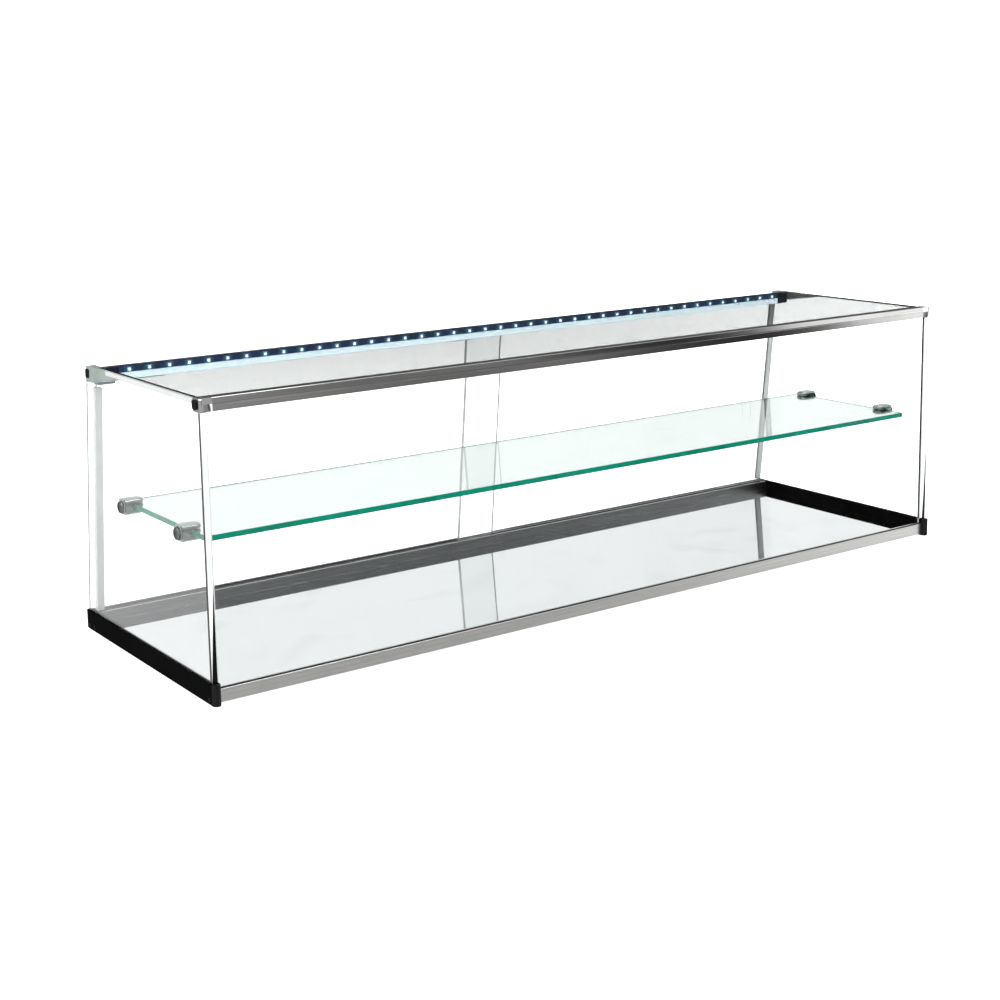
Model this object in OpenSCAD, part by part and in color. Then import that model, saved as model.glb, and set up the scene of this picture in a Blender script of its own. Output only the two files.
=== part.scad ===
// Counter-top display case: flat glass sides, front and top, one glass shelf
// and two glass sliding doors at the back, on a steel base tray.
// +X runs along the case to the right as the customer sees it, +Y to the
// server's side and +Z up. The origin is the middle of the footprint, on the counter.

/* [Overall size] */
// Length of the case, left to right
case_w = 1050; // [900:10:1200]
// Depth of the base, front to back
case_d = 325; // [315:5:360]
// Height of the case
case_h = 308; // [290:1:330]
// How far the top's rear edge stands forward of the base's rear end
rear_setback = 35.5; // [30:0.5:45]

/* [Glass] */
// Thickness of the side, front and shelf glass
glass_t = 6; // [5:0.5:6]
// Thickness of the top glass
top_glass_t = 4; // [4:0.5:6]
// Thickness of the sliding door glass
door_glass_t = 5; // [4:0.5:5]
// How far the two doors overlap in the middle
door_overlap = 48; // [30:1:80]

/* [Base] */
// Height of the black side profiles, feet included
profile_h = 23; // [21:0.5:25]
// Width of the black side profiles
profile_w = 9; // [9:0.5:12]
// Height of the steel tray's top above the counter
tray_top = 11; // [10:0.5:12]

/* [Shelf] */
// Height of the shelf's top face
shelf_top = 165; // [120:1:200]
// Depth of the shelf
shelf_d = 194; // [180:1:200]
// Distance from the base's front end to the shelf's front edge
shelf_front = 37; // [36:1:45]
// Gap between each shelf end and the side glass
shelf_end_gap = 11.5; // [11:0.5:13]

/* [Lighting] */
// Number of light-emitting chips along the rear rail
led_count = 42; // [20:1:50]

/* [Hidden] */

$fn = 48;
touch = 0.2;      // assembly gap between parts that only meet
cut = 1;          // how far cutters run past a face
wall = 1.5;       // thin extrusion wall
half_w = case_w / 2;
half_d = case_d / 2;

// Side profiles and feet
foot_proud = 1;                       // how far the rubber strip stands below the profile
foot_strip_w = 5;
foot_strip_h = 3;
front_cap_l = 6;
rear_cap_l = 3.5;
profile_in = half_w - profile_w;      // inner face of a side profile
glass_mid = half_w - profile_w / 2;   // middle plane of a side glass
glass_seat = 8;                       // height of the groove floor that the side glass stands on
side_glass_front = -half_d + front_cap_l + touch;
side_glass_rear = half_d - rear_cap_l - touch;
side_glass_in = glass_mid - glass_t / 2;
side_glass_out = glass_mid + glass_t / 2;

// Base rails, board and tray
rail_bottom = 2.5;
front_rail_y = -half_d + 6;           // front face of the front base rail
front_rail_top = 16.5;
gasket_t = 1;
front_wall = 2.2;
front_glass_y = front_rail_y + front_wall + gasket_t;  // front face of the front glass
front_slot_rear = front_glass_y + glass_t;
front_rail_in = front_slot_rear + 2;
rail_ledge = 14;                      // ledge under the board
board_bottom = 5;
tray_t = 1;
board_top = tray_top - tray_t;
rear_rail_in = half_d - 23.5;         // inner face of the rear base rail
rear_rail_out = half_d - 1.5;
rear_track_y = half_d - rear_cap_l;   // where the sloping rear plane meets the profile's top
screw_z = 5.4;
screw_d = 3;
screw_l = 18;
screw_head_d = 5;

// Sloping rear plane: u runs square to it, v runs up it
rear_top_y = half_d - rear_setback;
lean = atan((rear_track_y - rear_top_y) / (case_h - profile_h));
track_w = door_glass_t + 1.2;
track_wall = 2;
track_pitch = track_w + track_wall;
outer_track_u = -track_wall - track_w / 2;       // middle of the outer door's track
inner_track_u = outer_track_u - track_pitch;     // middle of the inner door's track
track_floor_v = -8;

// Top rails and top glass
lip_t = 1;
top_glass_z = case_h - lip_t - top_glass_t;      // underside of the top glass
top_glass_top = case_h - lip_t;
seal_leaf = 0.8;
side_glass_top = top_glass_z - seal_leaf;
top_glass_half = half_w - 4.2;
front_top_y = front_rail_y + 0.4;                // front face of the front top rail
front_top_bottom = case_h - 13.5;
front_top_rear = front_top_y + 15.5;
front_slot_top = top_glass_z - 1.5;
rear_rail_bottom = case_h - 20;
bed_t = 0.5;                                     // the top glass's rear edge lies this far above the rear rail
rear_rail_top = top_glass_z - bed_t;
rear_rail_front = rear_top_y - 28;               // front face of the rear top rail, which carries the lighting
top_glass_rear = rear_top_y - 22;
cover_t = 1;
door_track_top_v = (rear_rail_bottom - profile_h) / cos(lean) + 12.5;
rail_half = side_glass_in - 0.3;                 // half length of the rear top rail
end_cap_t = 2.5;
plug_t = 1.5;
corner_l = 11;
front_rail_half = half_w - plug_t - end_cap_t - corner_l;
wedge_tip_y = rear_top_y - 91;                   // where the rear end caps' wedges run out
cap_plate_y = rear_top_y - 54;                   // where they start to stand beside the top glass
cap_block_w = 8.5;

// Lighting
strip_h = 6;
strip_t = 1;
strip_z = rear_rail_bottom + 8;                  // lower edge of the light strip
chip = 4;
chip_t = 1.4;
led_pitch = (2 * rail_half - 39) / led_count;
led_half = led_count * led_pitch / 2;
reflector_t = 0.8;
reflector_gap = 0.4;
inlet_x = half_w - 40;
inlet_y = rear_rail_front + 5.2;
inlet_d = 6.4;
inlet_flange_d = 8.4;
inlet_socket_d = 3.8;
inlet_pin_d = 1.4;

// Shelf and its clamps
shelf_z = shelf_top - glass_t;
shelf_half = side_glass_in - shelf_end_gap;
shelf_y = -half_d + shelf_front;
clamp_front_y = shelf_y + shelf_front;
clamp_rear_y = shelf_y + shelf_d - 16;
clamp_ys = [clamp_front_y, clamp_rear_y];
clamp_w = 18;
clamp_jaw = 4.6;
clamp_edge_r = 3.6;
clamp_washer = 1;
clamp_reach = 23;                                // from the washer to the round end
pad_t = 0.8;
pad_l = 9;
slot_z = shelf_z - pad_t;
clamp_z = slot_z - clamp_jaw;
clamp_h = 2 * clamp_jaw + 2 * pad_t + glass_t;
clamp_web = 8;                                   // solid web between the washer and the slot
bolt_d = 5;
bolt_l = 14;
bolt_head_d = 13;
bolt_head_t = 1.3;
bush_d = 8;
set_screw_d = 4;
clamp_mid_z = shelf_z + glass_t / 2;

// Doors
door_end = profile_in - 2.8;                     // outer vertical edge of a door's glass
door_w = door_end + door_overlap / 2;
door_bottom_v = -6;
door_top_v = door_track_top_v - 8;
door_h = door_top_v - door_bottom_v;
shoe_gap = 0.2;                                  // total play of a shoe in its track
shoe_w = track_w - shoe_gap;
glide_l = 40;
glide_h = 5.8;
glide_floor = 1.8;
guide_l = 30;
guide_h = 6;
guide_cap = 0.8;
shoe_inset = 60;
grip_w = 16;
grip_l = 70;
grip_depth = 1.5;
grip_inset = 42;
grip_v = 150;
edge_seal_w = door_glass_t + 1.6;
edge_seal_l = 2.5;
edge_seal_lap = 6;
bumper_l = 12.8;
door_travel = profile_in - bumper_l - touch - door_overlap / 2;   // until the inner edge meets the bumper

// Extrudes a shape drawn in the Y-Z plane along X, from x0 for a length
module along_x(x0, length) {
  translate([x0, 0, 0]) rotate([90, 0, 90]) linear_extrude(length) children();
}

// Mirrors a left-hand part to the right-hand side
module on_right() {
  mirror([1, 0, 0]) children();
}

// Stands a part in the sloping rear frame: local Y is u and local Z is v
module on_rear_plane() {
  translate([0, rear_track_y, profile_h]) rotate([lean, 0, 0]) children();
}

// A rectangle with round corners, from its low corner
module soft_rect(w, h, r) {
  translate([r, 0]) square([w - 2 * r, h]);
  translate([0, r]) square([w, h - 2 * r]);
  for (x = [r, w - r], y = [r, h - r]) translate([x, y]) circle(r);
}

// ---- Side profiles, end caps and feet (left-hand shapes) ----

module left_side_profile_solid() {
  length = case_d - front_cap_l - rear_cap_l;
  difference() {
    translate([-half_w, -half_d + front_cap_l, foot_proud])
      cube([profile_w, length, profile_h - foot_proud]);
    // groove for the side glass
    translate([-side_glass_out, -half_d, glass_seat])
      cube([glass_t, case_d, profile_h]);
    // groove for the rubber foot strip
    translate([-half_w + (profile_w - foot_strip_w) / 2, -half_d, foot_proud - cut])
      cube([foot_strip_w, case_d, foot_strip_h - foot_proud + cut]);
    // countersunk screw holes into the base rails
    for (y = frame_screw_ys()) frame_screw_hole(y);
  }
}

function frame_screw_ys() = [front_glass_y + glass_t / 2, rear_rail_in + 4, rear_rail_out - 5];

module frame_screw_hole(y) {
  clearance = 0.2;
  translate([-half_w - cut, y, screw_z]) rotate([0, 90, 0])
    cylinder(d = screw_d + clearance, h = profile_w + 2 * cut);
  translate([-half_w - cut, y, screw_z]) rotate([0, 90, 0])
    cylinder(d = screw_head_d + clearance, h = cut + 2);
}

module left_side_profile() {
  color("black") left_side_profile_solid();
}

module right_side_profile() {
  color("black") on_right() left_side_profile_solid();
}

// Front cap with a full round nose
module left_front_foot_cap_solid() {
  r = profile_w / 2;
  translate([-half_w, -half_d, foot_proud]) linear_extrude(profile_h - foot_proud) {
    intersection() {
      translate([r, r]) circle(r);
      square([profile_w, r]);
    }
    translate([0, r]) square([profile_w, front_cap_l - r]);
  }
}

module left_front_foot_cap() {
  color("black") left_front_foot_cap_solid();
}

module right_front_foot_cap() {
  color("black") on_right() left_front_foot_cap_solid();
}

module left_rear_foot_cap_solid() {
  translate([-half_w, half_d - rear_cap_l, foot_proud])
    cube([profile_w, rear_cap_l, profile_h - foot_proud]);
}

module left_rear_foot_cap() {
  color("black") left_rear_foot_cap_solid();
}

module right_rear_foot_cap() {
  color("black") on_right() left_rear_foot_cap_solid();
}

module left_foot_strip_solid() {
  translate([-half_w + (profile_w - foot_strip_w) / 2, -half_d + front_cap_l + touch, 0])
    cube([foot_strip_w, case_d - front_cap_l - rear_cap_l - 2 * touch, foot_strip_h]);
}

module left_foot_strip() {
  color("dimgray") left_foot_strip_solid();
}

module right_foot_strip() {
  color("dimgray") on_right() left_foot_strip_solid();
}

// Two round supports under the middle of the base board
module centre_feet() {
  foot_d = 26;
  spread = 90;
  color("dimgray") for (y = [-spread, spread])
    translate([0, y, 0]) cylinder(d = foot_d, h = board_bottom);
}

// ---- Base ----

module front_base_rail() {
  color("lightgray") difference() {
    along_x(-profile_in, 2 * profile_in) polygon([
      [front_rail_y, rail_bottom], [front_rail_in + rail_ledge, rail_bottom],
      [front_rail_in + rail_ledge, board_bottom], [front_rail_in, board_bottom],
      [front_rail_in, front_rail_top], [front_slot_rear, front_rail_top],
      [front_slot_rear, glass_seat], [front_rail_y + front_wall, glass_seat],
      [front_rail_y + front_wall, front_rail_top], [front_rail_y, front_rail_top]
    ]);
    rail_screw_port(front_glass_y + glass_t / 2);
  }
}

// A port along X in both ends of a rail for one frame screw
module rail_screw_port(y) {
  port_l = screw_l;
  clearance = 0.2;
  for (x = [-profile_in - cut, profile_in - port_l]) translate([x, y, screw_z]) rotate([0, 90, 0])
    cylinder(d = screw_d + clearance, h = port_l + cut);
}

module rear_base_rail() {
  cavity_y = rear_rail_in + 8;
  cavity_w = rear_rail_out - 9 - cavity_y;
  color("slategray") difference() {
    along_x(-profile_in, 2 * profile_in) polygon([
      [rear_rail_in - rail_ledge, rail_bottom], [rear_rail_out, rail_bottom],
      [rear_rail_out, profile_h], [rear_rail_in, profile_h],
      [rear_rail_in, board_bottom], [rear_rail_in - rail_ledge, board_bottom]
    ]);
    on_rear_plane() for (u = [outer_track_u, inner_track_u])
      translate([-half_w, u - track_w / 2, track_floor_v]) cube([case_w, track_w, 20]);
    along_x(-half_w, case_w) translate([cavity_y, rail_bottom + wall]) square([cavity_w, 7.5]);
    for (y = [rear_rail_in + 4, rear_rail_out - 5]) rail_screw_port(y);
  }
}

module base_board() {
  color("burlywood") translate([-profile_in + touch, front_rail_in + touch, board_bottom])
    cube([2 * (profile_in - touch), rear_rail_in - front_rail_in - 2 * touch, board_top - board_bottom]);
}

module base_tray() {
  color("silver") translate([-profile_in + touch, front_rail_in + touch, board_top])
    cube([2 * (profile_in - touch), rear_rail_in - front_rail_in - 2 * touch, tray_t]);
}

// Countersunk screws through the side profiles into the rails' ports
module frame_screws() {
  head_t = 1.9;
  color("black") for (side = [0, 1], y = frame_screw_ys()) mirror([side, 0, 0])
    translate([-half_w + 0.1, y, screw_z]) rotate([0, 90, 0]) {
      cylinder(d = screw_head_d, h = head_t);
      cylinder(d = screw_d, h = screw_l);
    }
}

// ---- Glass ----

// Side glass with a hole for each clamp bolt; its top rear corner is cut away under the wedge of the end cap
module side_glass_solid() {
  wedge_gap = 2;
  difference() {
    along_x(-side_glass_out, glass_t) polygon([
      [side_glass_front, glass_seat], [side_glass_rear, glass_seat], [side_glass_rear, profile_h],
      [rear_plane_y(rear_rail_bottom - touch), rear_rail_bottom - touch - 0.1],
      [wedge_tip_y - wedge_gap, side_glass_top],
      [front_top_rear + touch, side_glass_top], [front_top_rear + touch, front_top_bottom - touch],
      [side_glass_front, front_top_bottom - touch]
    ]);
    for (y = clamp_ys) translate([-half_w, y, clamp_mid_z]) rotate([0, 90, 0])
      cylinder(d = bush_d, h = profile_w);
  }
}

// Where the sloping rear plane is at a height
function rear_plane_y(z) = rear_track_y - (z - profile_h) * tan(lean) - touch;

module left_side_glass() {
  color("azure", 0.4) side_glass_solid();
}

module right_side_glass() {
  color("azure", 0.4) on_right() side_glass_solid();
}

module front_glass() {
  half = profile_in - touch;
  color("azure", 0.4) translate([-half, front_glass_y, glass_seat])
    cube([2 * half, glass_t, front_slot_top - touch - glass_seat]);
}

module top_glass() {
  front = front_top_y + 3.2;
  color("azure", 0.4) translate([-top_glass_half, front, top_glass_z])
    cube([2 * top_glass_half, top_glass_rear - front, top_glass_t]);
}

module shelf_glass() {
  color("mediumaquamarine", 0.5) translate([-shelf_half, shelf_y, shelf_z])
    cube([2 * shelf_half, shelf_d, glass_t]);
}

// ---- Seals ----

module front_glass_gasket() {
  lip_w = 1.3;
  lip_h = 0.8;
  color("black") along_x(-profile_in + touch, 2 * (profile_in - touch)) polygon([
    [front_glass_y - gasket_t, glass_seat], [front_glass_y, glass_seat],
    [front_glass_y, front_rail_top + lip_h], [front_glass_y - gasket_t - lip_w, front_rail_top + lip_h],
    [front_glass_y - gasket_t - lip_w, front_rail_top], [front_glass_y - gasket_t, front_rail_top]
  ]);
}

// Clear strip that fills the corner between the front glass and a side glass
module left_corner_seal_solid() {
  translate([-side_glass_in, front_glass_y, profile_h])
    cube([side_glass_in - profile_in + touch, glass_t, front_top_bottom - profile_h]);
}

module left_corner_seal() {
  color("gainsboro", 0.7) left_corner_seal_solid();
}

module right_corner_seal() {
  color("gainsboro", 0.7) on_right() left_corner_seal_solid();
}

// L-shaped clear strip between a side glass's top edge and the top glass
module left_top_seal_solid() {
  length = cap_plate_y - front_top_rear - 2 * touch;
  leaf_in = side_glass_in - 3;
  translate([0, front_top_rear + touch, 0]) rotate([90, 0, 180]) linear_extrude(length) polygon([
    [leaf_in, side_glass_top], [side_glass_out, side_glass_top], [side_glass_out, top_glass_top],
    [top_glass_half, top_glass_top], [top_glass_half, top_glass_z], [leaf_in, top_glass_z]
  ]);
}

module left_top_seal() {
  color("gainsboro", 0.7) left_top_seal_solid();
}

module right_top_seal() {
  color("gainsboro", 0.7) on_right() left_top_seal_solid();
}

// ---- Front top rail ----

// Section of the rail that holds the front edge of the top glass and the top edge of the front glass
module front_top_section() {
  groove_z = front_top_bottom + 7.5;
  groove = 0.8;
  slope = 1.7;
  slot_front = front_top_y + 3;
  polygon([
    [front_top_y, front_top_bottom], [front_glass_y, front_top_bottom], [front_glass_y, front_slot_top],
    [front_slot_rear, front_slot_top], [front_slot_rear, front_top_bottom],
    [front_slot_rear + wall, front_top_bottom], [front_slot_rear + wall, front_slot_top],
    [front_top_rear, front_slot_top], [front_top_rear, top_glass_z], [slot_front, top_glass_z],
    [slot_front, top_glass_top], [front_top_rear, top_glass_top], [front_top_rear, case_h],
    [front_top_y + slope, case_h], [front_top_y, groove_z + groove], [front_top_y + groove, groove_z + groove],
    [front_top_y + groove, groove_z], [front_top_y, groove_z]
  ]);
}

module front_top_rail() {
  color("gray") along_x(-front_rail_half, 2 * front_rail_half) front_top_section();
}

// Polished corner block at the end of the front top rail
module front_left_corner_solid() {
  along_x(-front_rail_half - corner_l, corner_l) front_top_section();
  along_x(-half_w + plug_t, end_cap_t) translate([front_top_y, front_top_bottom])
    soft_rect(front_top_rear - front_top_y, case_h - front_top_bottom, 2.5);
}

module front_left_corner() {
  color("silver") front_left_corner_solid();
}

module front_right_corner() {
  color("silver") on_right() front_left_corner_solid();
}

module front_left_plug_solid() {
  w = 9;
  h = 10;
  along_x(-half_w, plug_t) translate([front_top_rear - w - 1, front_top_bottom + 1.8]) soft_rect(w, h, 3);
}

module front_left_plug() {
  color("black") front_left_plug_solid();
}

module front_right_plug() {
  color("black") on_right() front_left_plug_solid();
}

// ---- Rear top rail, with the lighting ----

function rear_rail_back(z) = rear_track_y - (z - profile_h) * tan(lean);

// The rail carries the door tracks; its front wall carries the lighting and a channel for the lead
module rear_top_rail() {
  channel_w = 5;
  channel_h = 5.4;
  color("gray") difference() {
    along_x(-rail_half, 2 * rail_half) polygon([
      [rear_rail_back(rear_rail_bottom), rear_rail_bottom], [rear_rail_back(rear_rail_top), rear_rail_top],
      [rear_rail_front, rear_rail_top], [rear_rail_front, rear_rail_bottom]
    ]);
    on_rear_plane() for (u = [outer_track_u, inner_track_u])
      translate([-half_w, u - track_w / 2, door_track_top_v - 25]) cube([case_w, track_w, 25]);
    along_x(-half_w, case_w) translate([inlet_y - channel_w / 2, rear_rail_bottom + 2.4]) square([channel_w, channel_h]);
    translate([inlet_x, inlet_y, rear_rail_bottom - cut]) cylinder(d = inlet_d + 0.2, h = 7 + cut);
  }
}

// Dark strip that covers the rear rail's top behind the top glass
module rear_top_cover() {
  rear_y = rear_rail_back(rear_rail_top) - 0.3;
  front_y = top_glass_rear + touch;
  half = half_w - plug_t - cap_block_w - touch;
  color("midnightblue") along_x(-half, 2 * half) polygon([
    [front_y, rear_rail_top], [rear_y, rear_rail_top], [rear_y, rear_rail_top + cover_t], [front_y, rear_rail_top + cover_t]
  ]);
}

// Cap that closes the end of the rear top rail: a wedge on the side glass, a plate beside the top glass
// and a block over the end of the rail
module rear_left_end_cap_solid() {
  outer_x = -half_w + plug_t;
  crown = case_h - 0.8;
  rear_y = rear_rail_back(crown);
  // wedge
  along_x(outer_x, side_glass_out - rail_half - touch) polygon([
    [rear_rail_back(rear_rail_bottom), rear_rail_bottom], [rear_rail_back(rear_rail_top), rear_rail_top],
    [cap_plate_y, rear_rail_top], [cap_plate_y, side_glass_top - 0.1], [wedge_tip_y, side_glass_top - 0.1]
  ]);
  // plate
  along_x(outer_x, half_w - plug_t - top_glass_half - touch) polygon([
    [cap_plate_y, side_glass_top - 1], [rear_rail_back(side_glass_top - 1), side_glass_top - 1],
    [rear_y, crown - 1], [rear_y - 5, crown], [cap_plate_y + 6, crown], [cap_plate_y, crown - 2]
  ]);
  // block
  along_x(outer_x, cap_block_w) polygon([
    [top_glass_rear + touch, rear_rail_top], [rear_rail_back(rear_rail_top), rear_rail_top],
    [rear_y, crown - 1], [rear_y - 5, crown], [top_glass_rear + touch, crown]
  ]);
}

module rear_left_end_cap() {
  color("darkseagreen") rear_left_end_cap_solid();
}

module rear_right_end_cap() {
  color("darkseagreen") on_right() rear_left_end_cap_solid();
}

module rear_left_plug_solid() {
  w = 8;
  h = 10;
  along_x(-half_w, plug_t) translate([rear_top_y - w - 0.5, rear_rail_bottom + 5.5]) soft_rect(w, h, 2);
}

module rear_left_plug() {
  color("black") rear_left_plug_solid();
}

module rear_right_plug() {
  color("black") on_right() rear_left_plug_solid();
}

module led_strip() {
  color("navy") translate([-led_half, rear_rail_front - strip_t, strip_z]) cube([2 * led_half, strip_t, strip_h]);
}

module led_chips() {
  color("white") for (i = [0 : led_count - 1])
    translate([-led_half + (i + 0.5) * led_pitch - chip / 2, rear_rail_front - strip_t - chip_t, strip_z + (strip_h - chip) / 2])
      cube([chip, chip_t, chip]);
}

// White strip under the lighting that throws its light into the case
module light_reflector() {
  color("white") translate([-led_half, rear_rail_front - reflector_t, rear_rail_bottom + reflector_gap])
    cube([2 * led_half, reflector_t, strip_z - rear_rail_bottom - 2 * reflector_gap]);
}

// Round low-voltage socket that opens downwards
module power_inlet() {
  body_h = 6.8;
  flange_t = 1;
  depth = 5.8;
  color("black") translate([inlet_x, inlet_y, rear_rail_bottom]) {
    difference() {
      union() {
        cylinder(d = inlet_d, h = body_h);
        translate([0, 0, -flange_t]) cylinder(d = inlet_flange_d, h = flange_t);
      }
      translate([0, 0, -flange_t - cut]) cylinder(d = inlet_socket_d, h = depth + flange_t + cut);
    }
    cylinder(d = inlet_pin_d, h = depth);
  }
}

// ---- Shelf clamps ----

// Half section of a clamp: a bar with soft edges, from its middle line outwards
module clamp_half_section() {
  r = clamp_edge_r;
  intersection() {
    translate([-clamp_w / 2, 0]) soft_rect(clamp_w, clamp_h, r);
    square([clamp_w / 2, clamp_h]);
  }
}

// Chrome clamp with a round end, its flat end on the side glass; the shelf slot opens towards the case's middle
module clamp_solid(y) {
  root_x = -side_glass_in + clamp_washer;
  end_x = root_x + clamp_reach - clamp_w / 2;
  difference() {
    union() {
      translate([end_x, y, clamp_z]) rotate_extrude() clamp_half_section();
      translate([root_x, y, clamp_z]) rotate([90, 0, 90]) linear_extrude(end_x - root_x)
        translate([-clamp_w / 2, 0]) soft_rect(clamp_w, clamp_h, clamp_edge_r);
    }
    translate([root_x + clamp_web, y - clamp_w, slot_z])
      cube([2 * clamp_w, 2 * clamp_w, glass_t + 2 * pad_t]);
    translate([root_x - cut, y, clamp_mid_z]) rotate([0, 90, 0])
      cylinder(d = bolt_d + 0.2, h = clamp_web + 2 * cut);
    translate([end_x, y, clamp_z - cut]) cylinder(d = set_screw_d + 0.2, h = clamp_jaw + 2 * cut);
  }
}

module left_front_clamp() {
  color("silver") clamp_solid(clamp_front_y);
}

module left_rear_clamp() {
  color("silver") clamp_solid(clamp_rear_y);
}

module right_front_clamp() {
  color("silver") on_right() clamp_solid(clamp_front_y);
}

module right_rear_clamp() {
  color("silver") on_right() clamp_solid(clamp_rear_y);
}

// Repeats a left-hand clamp fitting at all four clamps
module at_clamps() {
  for (side = [0, 1], y = clamp_ys) mirror([side, 0, 0]) translate([0, y, 0]) children();
}

// Bolt with a flat round head outside the side glass
module clamp_bolts() {
  color("silver") at_clamps() translate([-side_glass_out, 0, clamp_mid_z]) rotate([0, 90, 0]) {
    translate([0, 0, -bolt_head_t]) cylinder(d = bolt_head_d, h = bolt_head_t);
    cylinder(d = bolt_d, h = bolt_l);
  }
}

// Clear bush that keeps the bolt off the glass, with a washer flange under the clamp
module clamp_bushes() {
  clearance = 0.2;
  color("whitesmoke") at_clamps() translate([-side_glass_out, 0, clamp_mid_z]) rotate([0, 90, 0])
    difference() {
      union() {
        cylinder(d = bush_d - clearance, h = glass_t);
        translate([0, 0, glass_t]) cylinder(d = clamp_w - 3, h = clamp_washer);
      }
      translate([0, 0, -cut]) cylinder(d = bolt_d + clearance, h = glass_t + clamp_washer + 2 * cut);
    }
}

// Soft pads above and below the shelf in each clamp
module clamp_pads() {
  pad_w = 12;
  x = -shelf_half + 0.5;
  color("gainsboro") at_clamps() for (z = [slot_z, shelf_top])
    translate([x, -pad_w / 2, z]) cube([pad_l, pad_w, pad_t]);
}

module clamp_set_screws() {
  end_x = -side_glass_in + clamp_washer + clamp_reach - clamp_w / 2;
  color("dimgray") at_clamps() translate([end_x, 0, clamp_z + 0.6]) cylinder(d = set_screw_d, h = clamp_jaw - 0.6);
}

// ---- Sliding doors: the left one runs in the inner track, the right one in the outer track ----

// A door glass in its track, with a ground finger grip near its outer edge; x_side is -1 for left
module door_glass(x_side, u) {
  x0 = x_side < 0 ? -door_end : door_end - door_w;
  grip_x = x_side * (door_end - grip_inset);
  on_rear_plane() difference() {
    translate([x0, u - door_glass_t / 2, door_bottom_v]) cube([door_w, door_glass_t, door_h]);
    translate([grip_x, u + door_glass_t / 2 + cut, grip_v]) rotate([90, 0, 0])
      linear_extrude(cut + grip_depth)
        translate([-grip_w / 2, -grip_l / 2]) soft_rect(grip_w, grip_l, grip_w / 2 - 0.01);
  }
}

module left_door_glass() {
  color("azure", 0.4) door_glass(-1, inner_track_u);
}

module right_door_glass() {
  color("azure", 0.4) door_glass(1, outer_track_u);
}

function shoe_xs(x_side, length) =
  [x_side * (door_end - shoe_inset) - length / 2, x_side * (door_end - door_w + shoe_inset) - length / 2];

// Nylon glides under a door
module door_glides(x_side, u) {
  on_rear_plane() for (x = shoe_xs(x_side, glide_l)) difference() {
    translate([x, u - shoe_w / 2, door_bottom_v - glide_floor])
      cube([glide_l, shoe_w, glide_floor + glide_h]);
    translate([x - cut, u - door_glass_t / 2, door_bottom_v])
      cube([glide_l + 2 * cut, door_glass_t, glide_h + cut]);
  }
}

module left_door_glides() {
  color("whitesmoke") door_glides(-1, inner_track_u);
}

module right_door_glides() {
  color("whitesmoke") door_glides(1, outer_track_u);
}

// Nylon guides over a door's top edge
module door_guides(x_side, u) {
  on_rear_plane() for (x = shoe_xs(x_side, guide_l)) difference() {
    translate([x, u - shoe_w / 2, door_top_v - guide_h])
      cube([guide_l, shoe_w, guide_h + guide_cap]);
    translate([x - cut, u - door_glass_t / 2, door_top_v - guide_h - cut])
      cube([guide_l + 2 * cut, door_glass_t, guide_h + cut]);
  }
}

module left_door_guides() {
  color("whitesmoke") door_guides(-1, inner_track_u);
}

module right_door_guides() {
  color("whitesmoke") door_guides(1, outer_track_u);
}

// Clear channel along a door's outer edge that closes the gap to the side glass
module door_edge_seal(x_side, u) {
  bottom_v = 3;
  height = door_track_top_v - 16 - bottom_v;
  on_rear_plane() mirror([x_side < 0 ? 0 : 1, 0, 0]) difference() {
    translate([-door_end - edge_seal_l, u - edge_seal_w / 2, bottom_v])
      cube([edge_seal_l + edge_seal_lap, edge_seal_w, height]);
    translate([-door_end, u - door_glass_t / 2, bottom_v - cut])
      cube([edge_seal_lap + cut, door_glass_t, height + 2 * cut]);
  }
}

module left_door_edge_seal() {
  color("gainsboro", 0.7) door_edge_seal(-1, inner_track_u);
}

module right_door_edge_seal() {
  color("gainsboro", 0.7) door_edge_seal(1, outer_track_u);
}

// Rubber stops in the bottom track, at the end each door opens towards
module door_bumpers() {
  height = 6;
  start = door_overlap / 2 + door_travel + touch;
  color("black") on_rear_plane() {
    translate([start, inner_track_u - track_w / 2, track_floor_v]) cube([bumper_l, track_w, height]);
    translate([-start - bumper_l, outer_track_u - track_w / 2, track_floor_v]) cube([bumper_l, track_w, height]);
  }
}

left_side_profile();
right_side_profile();
left_front_foot_cap();
right_front_foot_cap();
left_rear_foot_cap();
right_rear_foot_cap();
left_foot_strip();
right_foot_strip();
centre_feet();
front_base_rail();
rear_base_rail();
base_board();
base_tray();
frame_screws();
left_side_glass();
right_side_glass();
front_glass();
top_glass();
shelf_glass();
front_glass_gasket();
left_corner_seal();
right_corner_seal();
left_top_seal();
right_top_seal();
front_top_rail();
front_left_corner();
front_right_corner();
front_left_plug();
front_right_plug();
rear_top_rail();
rear_top_cover();
rear_left_end_cap();
rear_right_end_cap();
rear_left_plug();
rear_right_plug();
led_strip();
led_chips();
light_reflector();
power_inlet();
left_front_clamp();
left_rear_clamp();
right_front_clamp();
right_rear_clamp();
clamp_bolts();
clamp_bushes();
clamp_pads();
clamp_set_screws();
left_door_glass();
right_door_glass();
left_door_glides();
right_door_glides();
left_door_guides();
right_door_guides();
left_door_edge_seal();
right_door_edge_seal();
door_bumpers();
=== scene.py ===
"""Looks for a counter-top display case, built round its fixed frame.

Every length in this file is in metres. +X runs along the case to the right as the customer sees it,
+Y to the server's side and +Z up.
"""

import math
from functools import partial

import bmesh
import bpy
from bpy.props import FloatProperty, FloatVectorProperty, IntProperty, PointerProperty
from mathutils import Matrix, Vector


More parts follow.
